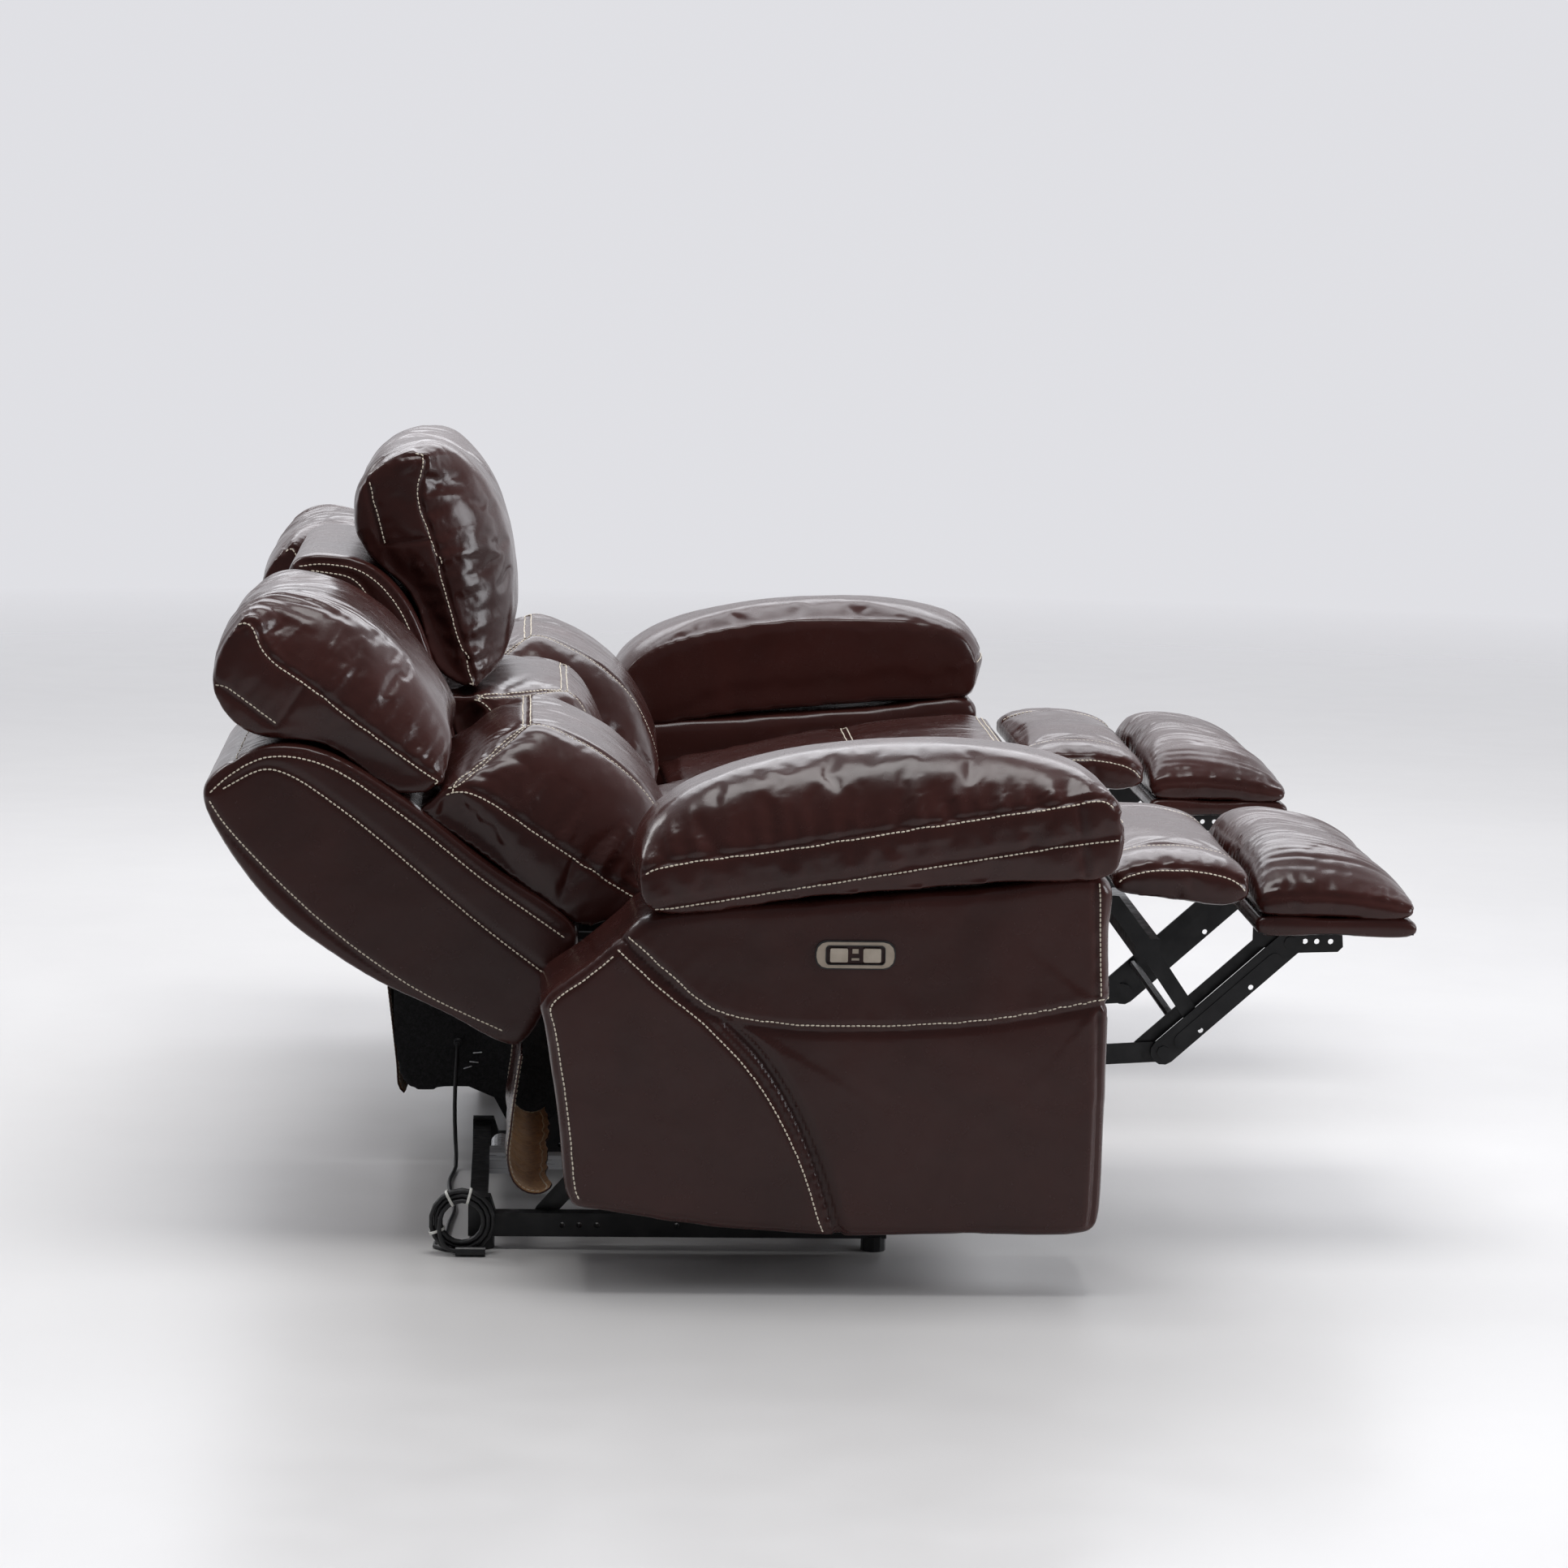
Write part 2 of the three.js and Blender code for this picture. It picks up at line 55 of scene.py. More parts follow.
Y_AXIS = np.array((0.0, 1.0, 0.0))
LEAD_DIAMETER = 0.006

# How an end seat's back leans about its hinge and its seat rolls forward, in mm.
RECLINE = math.radians(37)
BACK_HINGE = (-290, 312)
SLIDE = 200
BACK_FACE = (-0.515, 0, -0.857)
UPRIGHT_BACK_FACE = (-0.93, 0, -0.37)

FLOOR_RADIUS = 9.0
WHITE, COOL_WHITE = (1, 1, 1), (0.94, 0.96, 1)
CAMERA_PLACE = (-0.3896, -7.2442, 1.512)
CAMERA_LENS = 110.97
CAMERA_PITCH, CAMERA_YAW, CAMERA_ROLL = (math.radians(a) for a in (7.747, 3.074, 1.082))

# Seams, stitches and swelling, in metres.
SEAM_STEP = 0.004
SEAM_FAR = 0.16
LAP_EDGE, LAP_FADE = 0.004, 0.03
PUCKER_RISE = 0.006
STITCH_PITCH = 0.0066
BEAD_HALF = 0.0025
BEAD_RADIUS = 0.00108
WRINKLES_PER_METRE = 62
CLOTH_FRAMES = 20
CLOTH = {
    "quality": 4, "mass": 0.3, "tension_stiffness": 12, "compression_stiffness": 12,
    "shear_stiffness": 6, "bending_stiffness": 1.5, "vertex_group_mass": "sewn",
    "pin_stiffness": 1, "use_pressure": True, "uniform_pressure_force": 4, "shrink_min": -0.006,
}


# ------------------------------------------------------------------ camera and lamps
def placed(name, data):
    obj = bpy.data.objects.new(name, data)
    bpy.context.scene.collection.objects.link(obj)
    return obj


def make_camera():
    """The photograph's viewpoint, as a plain camera with no shift."""
    pitch, yaw, roll = CAMERA_PITCH, CAMERA_YAW, CAMERA_ROLL
    right = Vector((math.cos(yaw), -math.sin(yaw), 0))
    level = Vector((math.sin(yaw), math.cos(yaw), 0))
    up = level * math.sin(pitch) + Vector((0, 0, math.cos(pitch)))
    ahead = level * math.cos(pitch) - Vector((0, 0, math.sin(pitch)))
    across = math.cos(roll) * right + math.sin(roll) * up
    upward = -math.sin(roll) * right + math.cos(roll) * up
    camera = placed("camera", bpy.data.cameras.new("camera"))
    camera.data.sensor_width = 36
    camera.data.lens = CAMERA_LENS
    axes = Matrix((across, upward, -ahead)).transposed().to_4x4()
    camera.matrix_world = Matrix.Translation(CAMERA_PLACE) @ axes
    bpy.context.scene.camera = camera


def add_light(name, place, target, size, power, tint=COOL_WHITE):
    light = bpy.data.lights.new(name, "AREA")
    light.shape = "RECTANGLE"
    light.size, light.size_y = size
    light.energy = power
    light.color = tint
    lamp = placed(name, light)
    lamp.location = place
    lamp.rotation_euler = (Vector(target) - Vector(place)).to_track_quat("-Z", "Y").to_euler()


make_camera()


# ------------------------------------------------------------------ shaders
SPAN_ENDS = ("From Min", "From Max", "To Min", "To Max")


class Shader:
    """A node tree with short calls for the nodes that the materials here use."""

    def __init__(self, name, **sockets):
        self.material = bpy.data.materials.new(name)
        self.material.use_nodes = True
        self.tree = self.material.node_tree
        self.bsdf = next(n for n in self.tree.nodes if n.type == "BSDF_PRINCIPLED")
        for socket, value in sockets.items():
            self.bsdf.inputs[socket.replace("_", " ")].default_value = value
        self.place = self.tree.nodes.new("ShaderNodeTexCoord").outputs["Object"]

    def node(self, kind, **inputs):
        made = self.tree.nodes.new("ShaderNode" + kind)
        for key, value in inputs.items():
            if key.startswith("set_"):
                setattr(made, key[4:], value)
                continue
            numbered = key[0] == "i" and key[1:].isdigit()
            socket = made.inputs[int(key[1:])] if numbered else made.inputs[key]
            if isinstance(value, bpy.types.NodeSocket):
                self.tree.links.new(value, socket)
            else:
                socket.default_value = value
        return made

    def noise(self, scale, detail=4, distortion=0.0, vector=None):
        made = self.node("TexNoise", Vector=vector or self.place, Scale=scale, Detail=detail)
        made.inputs["Distortion"].default_value = distortion
        return made.outputs["Fac"]

    def cells(self, scale):
        return self.node("TexVoronoi", Vector=self.place, Scale=scale).outputs["Distance"]

    def stretch(self, scale):
        return self.node("Mapping", Vector=self.place, Scale=scale).outputs["Vector"]

    def span(self, value, low, high, to_low, to_high):
        made = self.node("MapRange", Value=value)
        for socket, number in zip(SPAN_ENDS, (low, high, to_low, to_high)):
            made.inputs[socket].default_value = number
        return made.outputs["Result"]

    def ramp(self, value, stops):
        made = self.node("ValToRGB", Fac=value)
        points = made.color_ramp.elements
        while len(points) < len(stops):
            points.new(0.5)
        for point, (at, colour) in zip(points, stops):
            point.position = at
            point.color = (*colour, 1)
        return made.outputs["Color"]

    def total(self, a, b, weight):
        scaled = self.node("Math", set_operation="MULTIPLY", i0=b, i1=weight).outputs[0]
        return self.node("Math", set_operation="ADD", i0=a, i1=scaled).outputs[0]

    def bump(self, height, strength, distance):
        made = self.node("Bump", Height=height, Strength=strength, Distance=distance)
        self.link(made.outputs["Normal"], "Normal")

    def link(self, value, socket):
        self.tree.links.new(value, self.bsdf.inputs[socket])

    def finish(self, colour, rough, bump):
        """Colour, roughness and bump, each from a noise of the scale and detail it starts with."""
        self.link(self.ramp(self.noise(*colour[:2]), colour[2]), "Base Color")
        self.link(self.span(self.noise(*rough[:2]), 0.3, 0.7, *rough[2:]), "Roughness")
        self.bump(self.noise(*bump[:2]), *bump[2:])
        return self.material


def leather(name, dark, light, rough):
    """Glossy corrected-grain hide: fine cells, faint creases and slow changes of colour."""
    s = Shader(name, Specular_IOR_Level=0.36)
    s.link(s.ramp(s.noise(5.5, 5, 0.6), [(0.3, dark), (0.72, light)]), "Base Color")
    s.link(s.span(s.noise(38, 6), 0.3, 0.75, rough - 0.04, rough + 0.07), "Roughness")
    creases = s.noise(21, 3, 1.3)
    height = s.total(s.total(s.noise(75, 2, 0.4), s.cells(430), 0.09), creases, 0.5)
    s.bump(height, 0.15, 0.0009)
    return s.material


def painted_steel():
    s = Shader("black_painted_steel", Metallic=0.35, Specular_IOR_Level=0.5)
    blacks = [(0.35, (0.008, 0.008, 0.009)), (0.75, (0.021, 0.021, 0.022))]
    return s.finish((26, 6, blacks), (70, 5, 0.3, 0.52), (900, 2, 0.25, 0.0003))


def zinc():
    s = Shader("zinc_plate", Metallic=0.7)
    streaks = s.noise(1, 6, vector=s.stretch((12, 420, 420)))
    s.link(s.ramp(streaks, [(0.3, (0.62, 0.63, 0.65)), (0.7, (0.80, 0.81, 0.83))]), "Base Color")
    s.link(s.span(streaks, 0.3, 0.7, 0.24, 0.42), "Roughness")
    s.bump(streaks, 0.12, 0.0003)
    return s.material


def champagne(name, dark, light, rough):
    s = Shader(name, Metallic=0.55, Coat_Weight=0.35, Coat_Roughness=0.18)
    return s.finish((60, 5, [(0.3, dark), (0.7, light)]), (240, 3, rough - 0.04, rough + 0.06),
                    (1400, 2, 0.08, 0.0002))


def plastic(name, colour, rough):
    s = Shader(name)
    paler = tuple(c * 1.6 + 0.004 for c in colour)
    return s.finish((90, 4, [(0.35, colour), (0.75, paler)]), (300, 3, rough - 0.06, rough + 0.08),
                    (1600, 2, 0.2, 0.0002))


def felt(name, dark, light, speck, sheen=0.0):
    """Cloth of short matted fibres: non-woven liner or the suede side of a hide."""
    s = Shader(name, Roughness=0.92, Sheen_Weight=sheen, Sheen_Roughness=0.4)
    s.link(s.ramp(s.noise(speck, 8, 1.2), [(0.35, dark), (0.68, light)]), "Base Color")
    dimples = s.cells(460)
    s.bump(s.total(s.noise(speck * 5, 5), dimples, 0.6), 0.5, 0.0006)
    return s.material


def thread(name, colour):
    s = Shader(name, Roughness=0.55, Sheen_Weight=0.2)
    shade = tuple(c * 0.72 for c in colour)
    s.link(s.ramp(s.noise(700, 3), [(0.35, shade), (0.65, colour)]), "Base Color")
    s.bump(s.noise(2600, 2, vector=s.stretch((1, 1, 1.7))), 0.4, 0.0003)
    return s.material


HIDE = leather("brown_leather", (0.031, 0.0090, 0.0072), (0.047, 0.0132, 0.0108), 0.235)
STITCH = thread("cream_thread", (0.86, 0.77, 0.62))
SUEDE = felt("tan_suede", (0.29, 0.15, 0.062), (0.50, 0.285, 0.13), 110, 0.3)
LINER = felt("black_liner_cloth", (0.006, 0.006, 0.0065), (0.022, 0.022, 0.024), 160)
STEEL = painted_steel()
ZINC = zinc()
TRIM = champagne("champagne_trim", (0.36, 0.30, 0.235), (0.46, 0.39, 0.315), 0.34)
KEYCAP = champagne("champagne_keycap", (0.42, 0.36, 0.29), (0.55, 0.48, 0.40), 0.42)
BLACK = plastic("black_plastic", (0.009, 0.009, 0.010), 0.42)
CABLE = plastic("cable_jacket", (0.011, 0.011, 0.012), 0.5)
TIE = plastic("nylon_tie", (0.62, 0.62, 0.58), 0.4)


# ------------------------------------------------------------------ mesh helpers
def new_object(name, mesh, *materials):
    obj = placed(name, mesh)
    for material in materials:
        mesh.materials.append(material)
    for polygon in mesh.polygons:
        polygon.use_smooth = True
    return obj


def mesh_from(name, points, faces):
    mesh = bpy.data.meshes.new(name)
    mesh.from_pydata([tuple(p) for p in points], [], faces)
    mesh.update()
    return mesh


def apply_modifiers(obj):
    """The object's mesh with its modifiers in it, in place of the old one."""
    depsgraph = bpy.context.evaluated_depsgraph_get()
    mesh = bpy.data.meshes.new_from_object(obj.evaluated_get(depsgraph))
    obj.modifiers.clear()
    old, obj.data = obj.data, mesh
    bpy.data.meshes.remove(old)
    for polygon in mesh.polygons:
        polygon.use_smooth = True


@contextmanager
def edited(mesh):
    """The mesh as a bmesh, written back when the block ends."""
    made = bmesh.new()
    made.from_mesh(mesh)
    yield made
    made.to_mesh(mesh)
    made.free()


def face_outward(mesh):
    with edited(mesh) as made:
        bmesh.ops.recalc_face_normals(made, faces=made.faces)


def quads(rings, count, closed=False, first=0):
    """Faces that join each ring of count points to the next, and the last to the first if closed."""
    faces = []
    for r in range(rings if closed else rings - 1):
        for k in range(count):
            a, b = r * count + k, r * count + (k + 1) % count
            faces.append([first + i % (rings * count) for i in (a, b, b + count, a + count)])
    return faces


def coordinates(mesh, kind="co"):
    flat = np.empty(len(mesh.vertices) * 3)
    mesh.vertices.foreach_get(kind, flat)
    return flat.reshape(-1, 3)


def set_coordinates(mesh, points):
    mesh.vertices.foreach_set("co", np.asarray(points, float).ravel())
    mesh.update()


def tree_of(obj):
    faces = [list(p.vertices) for p in obj.data.polygons]
    return BVHTree.FromPolygons([v.co for v in obj.data.vertices], faces)


def mix(a, b, ta, tb, t):
    return (tb - t) / (tb - ta) * a + (t - ta) / (tb - ta) * b


def spline(points, per=8, closed=True):
    """Points on a smooth centripetal curve through the given ones, as many for each span."""
    count = len(points)
    knots = [np.asarray(p, float) for p in points]
    spans = count if closed else count - 1
    out = []
    for i in range(spans):
        if closed:
            p = [knots[(i + k) % count] for k in (-1, 0, 1, 2)]
        else:
            first = knots[i - 1] if i else 2 * knots[0] - knots[1]
            last = knots[i + 2] if i + 2 < count else 2 * knots[-1] - knots[-2]
            p = [first, knots[i], knots[i + 1], last]
        steps = [max(float(np.linalg.norm(p[k + 1] - p[k])) ** 0.5, 1e-4) for k in range(3)]
        t0, t1, t2, t3 = 0.0, steps[0], steps[0] + steps[1], sum(steps)
        for j in range(per):
            t = t1 + (t2 - t1) * j / per
            a1, a2 = mix(p[0], p[1], t0, t1, t), mix(p[1], p[2], t1, t2, t)
            a3 = mix(p[2], p[3], t2, t3, t)
            out.append(mix(mix(a1, a2, t0, t2, t), mix(a2, a3, t1, t3, t), t1, t2, t))
    if not closed:
        out.append(knots[-1])
    return out


def resample(points, step):
    """The polyline at even steps, as an array."""
    points = np.asarray(points, float)
    lengths = np.linalg.norm(np.diff(points, axis=0), axis=1)
    along = np.concatenate([[0], np.cumsum(lengths)])
    stations = np.linspace(0, along[-1], max(2, int(round(along[-1] / step)) + 1))
    columns = [np.interp(stations, along, points[:, k]) for k in range(points.shape[1])]
    return np.stack(columns, axis=1)


def relaxed(line, times):
    """The line smoothed between its two fixed ends."""
    for _ in range(times):
        line[1:-1] = (line[:-2] + line[1:-1] * 2 + line[2:]) / 4
    return line


# ------------------------------------------------------------------ power lead
def band(name, path, width, thick, across, material):
    """A closed strap round a loop of points, its width along across."""
    across = np.array(across, float)
    points = []
    centre = np.mean(path, axis=0)
    for point in path:
        point = np.array(point, float)
        out = point - centre
        out -= across * np.dot(out, across)
        out /= np.linalg.norm(out)
        for lift, shift in ((0, -1), (0, 1), (thick, 1), (thick, -1)):
            points.append((point + out * lift + across * (shift * width / 2)) * MM)
    faces = quads(len(path), 4, closed=True)
    obj = new_object(name, mesh_from(name, points, faces), material)
    face_outward(obj.data)
    return obj


def coil_ties():
    """Three nylon ties round the coil, each an oval strap across its turns."""
    made = []
    for index, degrees in enumerate((75, 118, 200)):
        turn = math.radians(degrees)
        out = np.array([math.cos(turn), 0, math.sin(turn)])
        along = np.array([-math.sin(turn), 0, math.cos(turn)])
        centre = np.array([-470, -868.6, 45]) + out * 35.4
        loop = []
        for t in np.linspace(0, 2 * math.pi, 25)[:-1]:
            x, y = (math.copysign(abs(w) ** 0.7, w) for w in (math.cos(t), math.sin(t)))
            loop.append(centre + out * (10.2 * x) + Y_AXIS * (11.2 * y))
        strap = band(f"coil_tie_{index + 1}", loop, 3.6, 1.1, along, TIE)
        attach(strap, "base")
        made.append(strap)
    return made


def lead_route():
    """Out of the middle base, down to the floor, along it and round the tied coil, in mm."""
    exit_x, exit_y, lying = -486, -274, 3.3
    drop = [(0, -21, 176), (0, -30, 174), (0, -36, 162), (-2, -39, 130), (-3, -41, 90), (-2, -44, 50),
            (0, -50, 20), (0, -62, 6)]
    along = [(-2, -85), (-8, -160), (-4, -250), (2, -340), (-4, -430), (-8, -500), (-18, -535),
             (-22, -556), (-18, -572), (-6, -583)]
    run = drop + [(x, y, lying) for x, y in along]
    points = [(exit_x + x, exit_y + y, z) for x, y, z in run]
    centre, radii, pitch, per_turn = (-470, -867, 45), (41.7, 35.4, 29.1), 6.3, 18
    coil = []
    for layer, radius in enumerate(radii):
        for k in range(2 * per_turn + (9 if layer == 2 else 1)):
            turn = k / per_turn
            angle = -math.pi / 2 + 2 * math.pi * turn + layer * math.radians(40)
            drift = turn * pitch if layer % 2 == 0 else (2 - turn) * pitch
            coil.append((centre[0] + radius * math.cos(angle), centre[1] + pitch - drift,
                         centre[2] + radius * math.sin(angle)))
    return points, coil


def make_lead():
    points, coil = lead_route()
    smooth = resample(spline(points, 8, closed=False), 24)
    tail = [(-499.5, -881.8, 46), (-499.5, -883, 30), (-494, -883, 16), (-487, -883, 9.5),
            (-478, -883, 6.8)]
    ending = spline([*coil[-2:], *tail], 4, closed=False)[5:]
    route = [tuple(p) for p in smooth] + coil[1:] + [tuple(p) for p in ending]
    curve = bpy.data.curves.new("power_lead_cable", "CURVE")
    curve.dimensions = "3D"
    curve.bevel_depth = LEAD_DIAMETER / 2
    curve.bevel_resolution = 3
    line = curve.splines.new("POLY")
    line.points.add(len(route) - 1)
    for point, place in zip(line.points, route):
        point.co = (*(c * MM for c in place), 1)
    obj = placed("power_lead_cable", curve)
    curve.materials.append(CABLE)
    length = sum(math.dist(a, b) for a, b in zip(route, route[1:])) * MM
    return obj, length, route[0]


coil_tie_pieces = coil_ties()
lead, lead_length, lead_start = make_lead()
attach(lead, "base")
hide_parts("power_lead", "lead_coil")


# ------------------------------------------------------------------ lofts and seams
def upright(points):
    """A recliner's back outline, swung upright and rolled to the rear, as the middle seat's is."""
    out = []
    for x, z in points:
        dx, dz = x - BACK_HINGE[0], z - BACK_HINGE[1]
        out.append((
            BACK_HINGE[0] + dx * math.cos(RECLINE) + dz * math.sin(RECLINE) - SLIDE,
            BACK_HINGE[1] - dx * math.sin(RECLINE) + dz * math.cos(RECLINE),
        ))
    return out


class Loft:
    """A closed outline in XZ swept along Y, drawn in to a second outline at each end."""

    def __init__(self, outline, ends, y0, y1, depth, far_ends=None):
        self.full = np.array(spline(outline)) * MM
        self.ends = [np.array(spline(ends)) * MM, np.array(spline(far_ends or ends)) * MM]
        self.y0, self.y1, self.depth = y0 * MM, y1 * MM, depth * MM
        self.per = len(self.full) / len(outline)

    def ring(self, y):
        near, far = (y - self.y0) / self.depth, (self.y1 - y) / self.depth
        t, end = (near, self.ends[0]) if near < far else (far, self.ends[1])
        t = min(max(t, 0), 1)
        blend = math.sin(t * math.pi / 2) ** 0.8
        return end + (self.full - end) * blend

    def at(self, u, y):
        """The point at place u of the outline, counted in its control points, and at y in mm."""
        ring = self.ring(y * MM)
        place = (u * self.per) % len(ring)
        i = int(place)
        x, z = ring[i] + (ring[(i + 1) % len(ring)] - ring[i]) * (place - i)
        return (x, y * MM, z)

    def mesh(self, name):
        steps = [self.depth * (1 - math.cos(k * math.pi / 12)) for k in range(6)]
        low, high = self.y0 + self.depth, self.y1 - self.depth
        middle = list(np.linspace(low, high, 5))
        stations = [self.y0 + s for s in steps] + middle + [self.y1 - s for s in reversed(steps)]
        count = len(self.full)
        points = [(x, y, z) for y in stations for x, z in self.ring(y)]
        faces = [list(range(count)), list(reversed(range(len(points) - count, len(points))))]
        for r in range(len(stations) - 1):
            for k in range(count):
                a, b = r * count + k, r * count + (k + 1) % count
                faces.append([b, a, a + count, b + count])
        mesh = mesh_from(name, points, faces)
        with edited(mesh) as made:
            bmesh.ops.triangulate(made, faces=[f for f in made.faces if len(f.verts) > 4])
            bmesh.ops.recalc_face_normals(made, faces=made.faces)
        return mesh


def path_on(loft, stops, steps=40):
    """A line over a loft through (u, y) stops."""
    line = []
    for (u0, y0), (u1, y1) in zip(stops, stops[1:]):
        for k in range(steps):
            t = k / steps
            line.append(loft.at(u0 + (u1 - u0) * t, y0 + (y1 - y0) * t))
    line.append(loft.at(*stops[-1]))
    return line


def flat_path(points, y, per=12):
    """A line at one y, smooth through (x, z) points in mm."""
    return [(x * MM, y * MM, z * MM) for x, z in spline(points, per, closed=False)]


class Seam:
    """A sewn line: how deep it pulls in, where its rows of stitches run and which side puckers.

    toward is a point on the side of positive offsets and of the puckers."""

    def __init__(self, line, toward=None, rows=(-4.5,), depth=3.0, width=5.0,
                 pucker=0.0, reach=40, pitch=17, swell=(1, 1), step=0.0):
        self.line = resample(line, SEAM_STEP)
        self.toward = None if toward is None else np.array(toward, float) * MM
        self.rows = rows
        self.depth, self.width = depth * MM, width * MM
        self.pucker, self.reach, self.pitch = pucker * MM, reach * MM, pitch * MM
        self.swell = swell
        self.step = step * MM


# ------------------------------------------------------------------ upholstery
class Soft:
    """One upholstered piece: a loft, swollen by cloth simulation, with its seams pulled in."""

    def __init__(self, name, loft, seams, voxel=7.5, puff=10, hold=(), fill=0.8, wrinkles=(),
                 simulate=True, soften=1.3):
        self.name, self.loft, self.seams = name, loft, seams
        self.voxel, self.puff, self.hold, self.fill = voxel * MM, puff * MM, hold, fill
        self.wrinkles, self.simulate, self.soften = wrinkles, simulate, soften * MM
        self.obj = new_object(name, loft.mesh(name), HIDE)
        remesh = self.obj.modifiers.new("remesh", "REMESH")
        remesh.mode = "VOXEL"
        remesh.voxel_size = self.voxel
        apply_modifiers(self.obj)
        relax = self.obj.modifiers.new("relax", "SMOOTH")
        relax.factor = 0.5
        relax.iterations = 3
        apply_modifiers(self.obj)
        self.start = coordinates(self.obj.data)
        self.outward = coordinates(self.obj.data, "normal")

    def start_cloth(self):
        group = self.obj.vertex_groups.new(name="sewn")
        near = KDTree(sum(len(s.line) for s in self.seams) or 1)
        index = 0
        for seam in self.seams:
            for point in seam.line:
                near.insert(point, index)
                index += 1
        near.balance()
        for i, point in enumerate(self.start):
            gap = near.find(point)[2] if index else 1
            if gap is not None and gap < self.voxel * 0.8:
                group.add([i], 1.0, "REPLACE")
        cloth = self.obj.modifiers.new("cloth", "CLOTH")
        for key, value in CLOTH.items():
            setattr(cloth.settings, key, value)
        cloth.settings.effector_weights.gravity = 0
        cloth.collision_settings.use_collision = False
        cloth.point_cache.frame_start = 1
        cloth.point_cache.frame_end = CLOTH_FRAMES

    def settle(self, swollen):
        """Takes the simulated points, each moved no further than the piece may swell there."""
        move = swollen - self.start
        cap = np.full(len(move), self.puff)
        for direction, most in self.hold:
            facing = self.outward @ (np.array(direction, float) / np.linalg.norm(direction))
            soft = np.clip((facing - 0.35) / 0.4, 0, 1)
            cap = cap * (1 - soft) + most * MM * soft
        far = np.linalg.norm(move, axis=1)
        kept = cap * np.tanh(far / np.maximum(cap, 1e-9))
        scale = np.where(far > 1e-9, kept / np.maximum(far, 1e-9), 0)
        set_coordinates(self.obj.data, self.start + move * scale[:, None])

    def lay_seams(self):
        """Puts the seams on the mesh: a search tree, and each point's seam, share, arc and tangent."""
        tree = tree_of(self.obj)
        near = KDTree(sum(len(s.line) for s in self.seams) or 1)
        marks = []
        for which, seam in enumerate(self.seams):
            line = relaxed(np.array([tree.find_nearest(p)[0] for p in seam.line]), 3)
            seam.line = line
            for k, point in enumerate(line):
                near.insert(point, len(marks))
                tangent = line[min(k + 1, len(line) - 1)] - line[max(k - 1, 0)]
                marks.append((which, k / max(len(line) - 1, 1), k * SEAM_STEP, tangent))
        near.balance()
        return near, marks

    def panel_height(self, point):
        """How far a point of a panel stands out: slow unevenness, and the creases of its wrinkles."""
        x, y, z = point
        h = self.soften * noise.noise((x * 7 + 3, y * 7, z * 7))
        h += 0.35 * self.soften * noise.noise((x * 24, y * 24 + 5, z * 24))
        for across, size, stretch, centre, radius in self.wrinkles:
            gap = math.dist(point, centre)
            if gap < radius:
                fade = (1 - (gap / radius) ** 2) ** 2
                along = float(np.dot(point, across))
                rest = point - along * across
                ridge = noise.noise(tuple(rest * stretch + across * along * WRINKLES_PER_METRE))
                h += fade * size * (abs(ridge) * 2.2 - 0.5)
        return h

    def seam_height(self, h, point, outward, gap, mark):
        """The height h as changed by the nearest seam: its groove, its lap and its puckers."""
        which, share, arc, tangent = mark
        seam = self.seams[which]
        h -= seam.depth * math.exp(-((gap / seam.width) ** 2))
        side = 1.0
        if seam.toward is not None:
            across = np.cross(tangent, outward)
            nearest = seam.line[int(share * (len(seam.line) - 1) + 0.5)]
            side = float(np.dot(point - nearest, across))
            want = float(np.dot(seam.toward - point, across))
            side = 1.0 if side * want > 0 else -1.0
        if seam.step:
            h += seam.step * math.exp(-gap / LAP_FADE) * (side * math.tanh(gap / LAP_EDGE))
        if seam.pucker and side > 0:
            grow = seam.swell[0] + (seam.swell[1] - seam.swell[0]) * share
            patch = 0.55 + 0.9 * max(0, noise.noise((arc * 9, which * 3.7, 2.1)) + 0.25)
            spread = gap / (seam.reach * 2.4)
            ridge = noise.noise((arc / seam.pitch, which * 5.3, spread))
            rise = (1 - math.exp(-gap / PUCKER_RISE)) * math.exp(-gap / seam.reach)
            h += seam.pucker * grow * patch * rise * ridge * 2.2
        return h

    def sew(self):
        """Finer mesh, then seams pulled in, puckers beside them and creases over the panels."""
        finer = self.obj.modifiers.new("finer", "SUBSURF")
        finer.levels = finer.render_levels = 1
        apply_modifiers(self.obj)
        mesh = self.obj.data
        points, outward = coordinates(mesh), coordinates(mesh, "normal")
        near, marks = self.lay_seams()
        move = np.zeros(len(points))
        for i, point in enumerate(points):
            h = self.panel_height(point)
            _, index, gap = near.find(point) if marks else (None, None, SEAM_FAR)
            if gap < SEAM_FAR:
                h = self.seam_height(h, point, outward[i], gap, marks[index])
            move[i] = h
        set_coordinates(mesh, points + outward * move[:, None])

    def stitches(self):
        """The thread of every row, each stitch a small raised bead along its seam."""
        tree = tree_of(self.obj)
        places = []
        for seam in self.seams:
            for offset in seam.rows:
                track = []
                for k, centre in enumerate(seam.line):
                    ahead = seam.line[min(k + 2, len(seam.line) - 1)] - seam.line[max(k - 2, 0)]
                    up = np.array(tree.find_nearest(centre)[1])
                    across = np.cross(ahead, up)
                    across /= max(np.linalg.norm(across), 1e-9)
                    if seam.toward is not None and np.dot(seam.toward - centre, across) < 0:
                        across = -across
                    track.append(centre + across * offset * MM)
                track = resample(relaxed(np.array(track), 8), STITCH_PITCH / 2)
                for k in range(1, len(track) - 1, 2):
                    spot, up, _, _ = tree.find_nearest(track[k])
                    tangent = track[k + 1] - track[k - 1]
                    size = np.linalg.norm(tangent)
                    if size > 1e-6:
                        places.append((np.array(spot), tangent / size, np.array(up)))
        return bead_mesh(self.name + "_stitching", places) if places else None


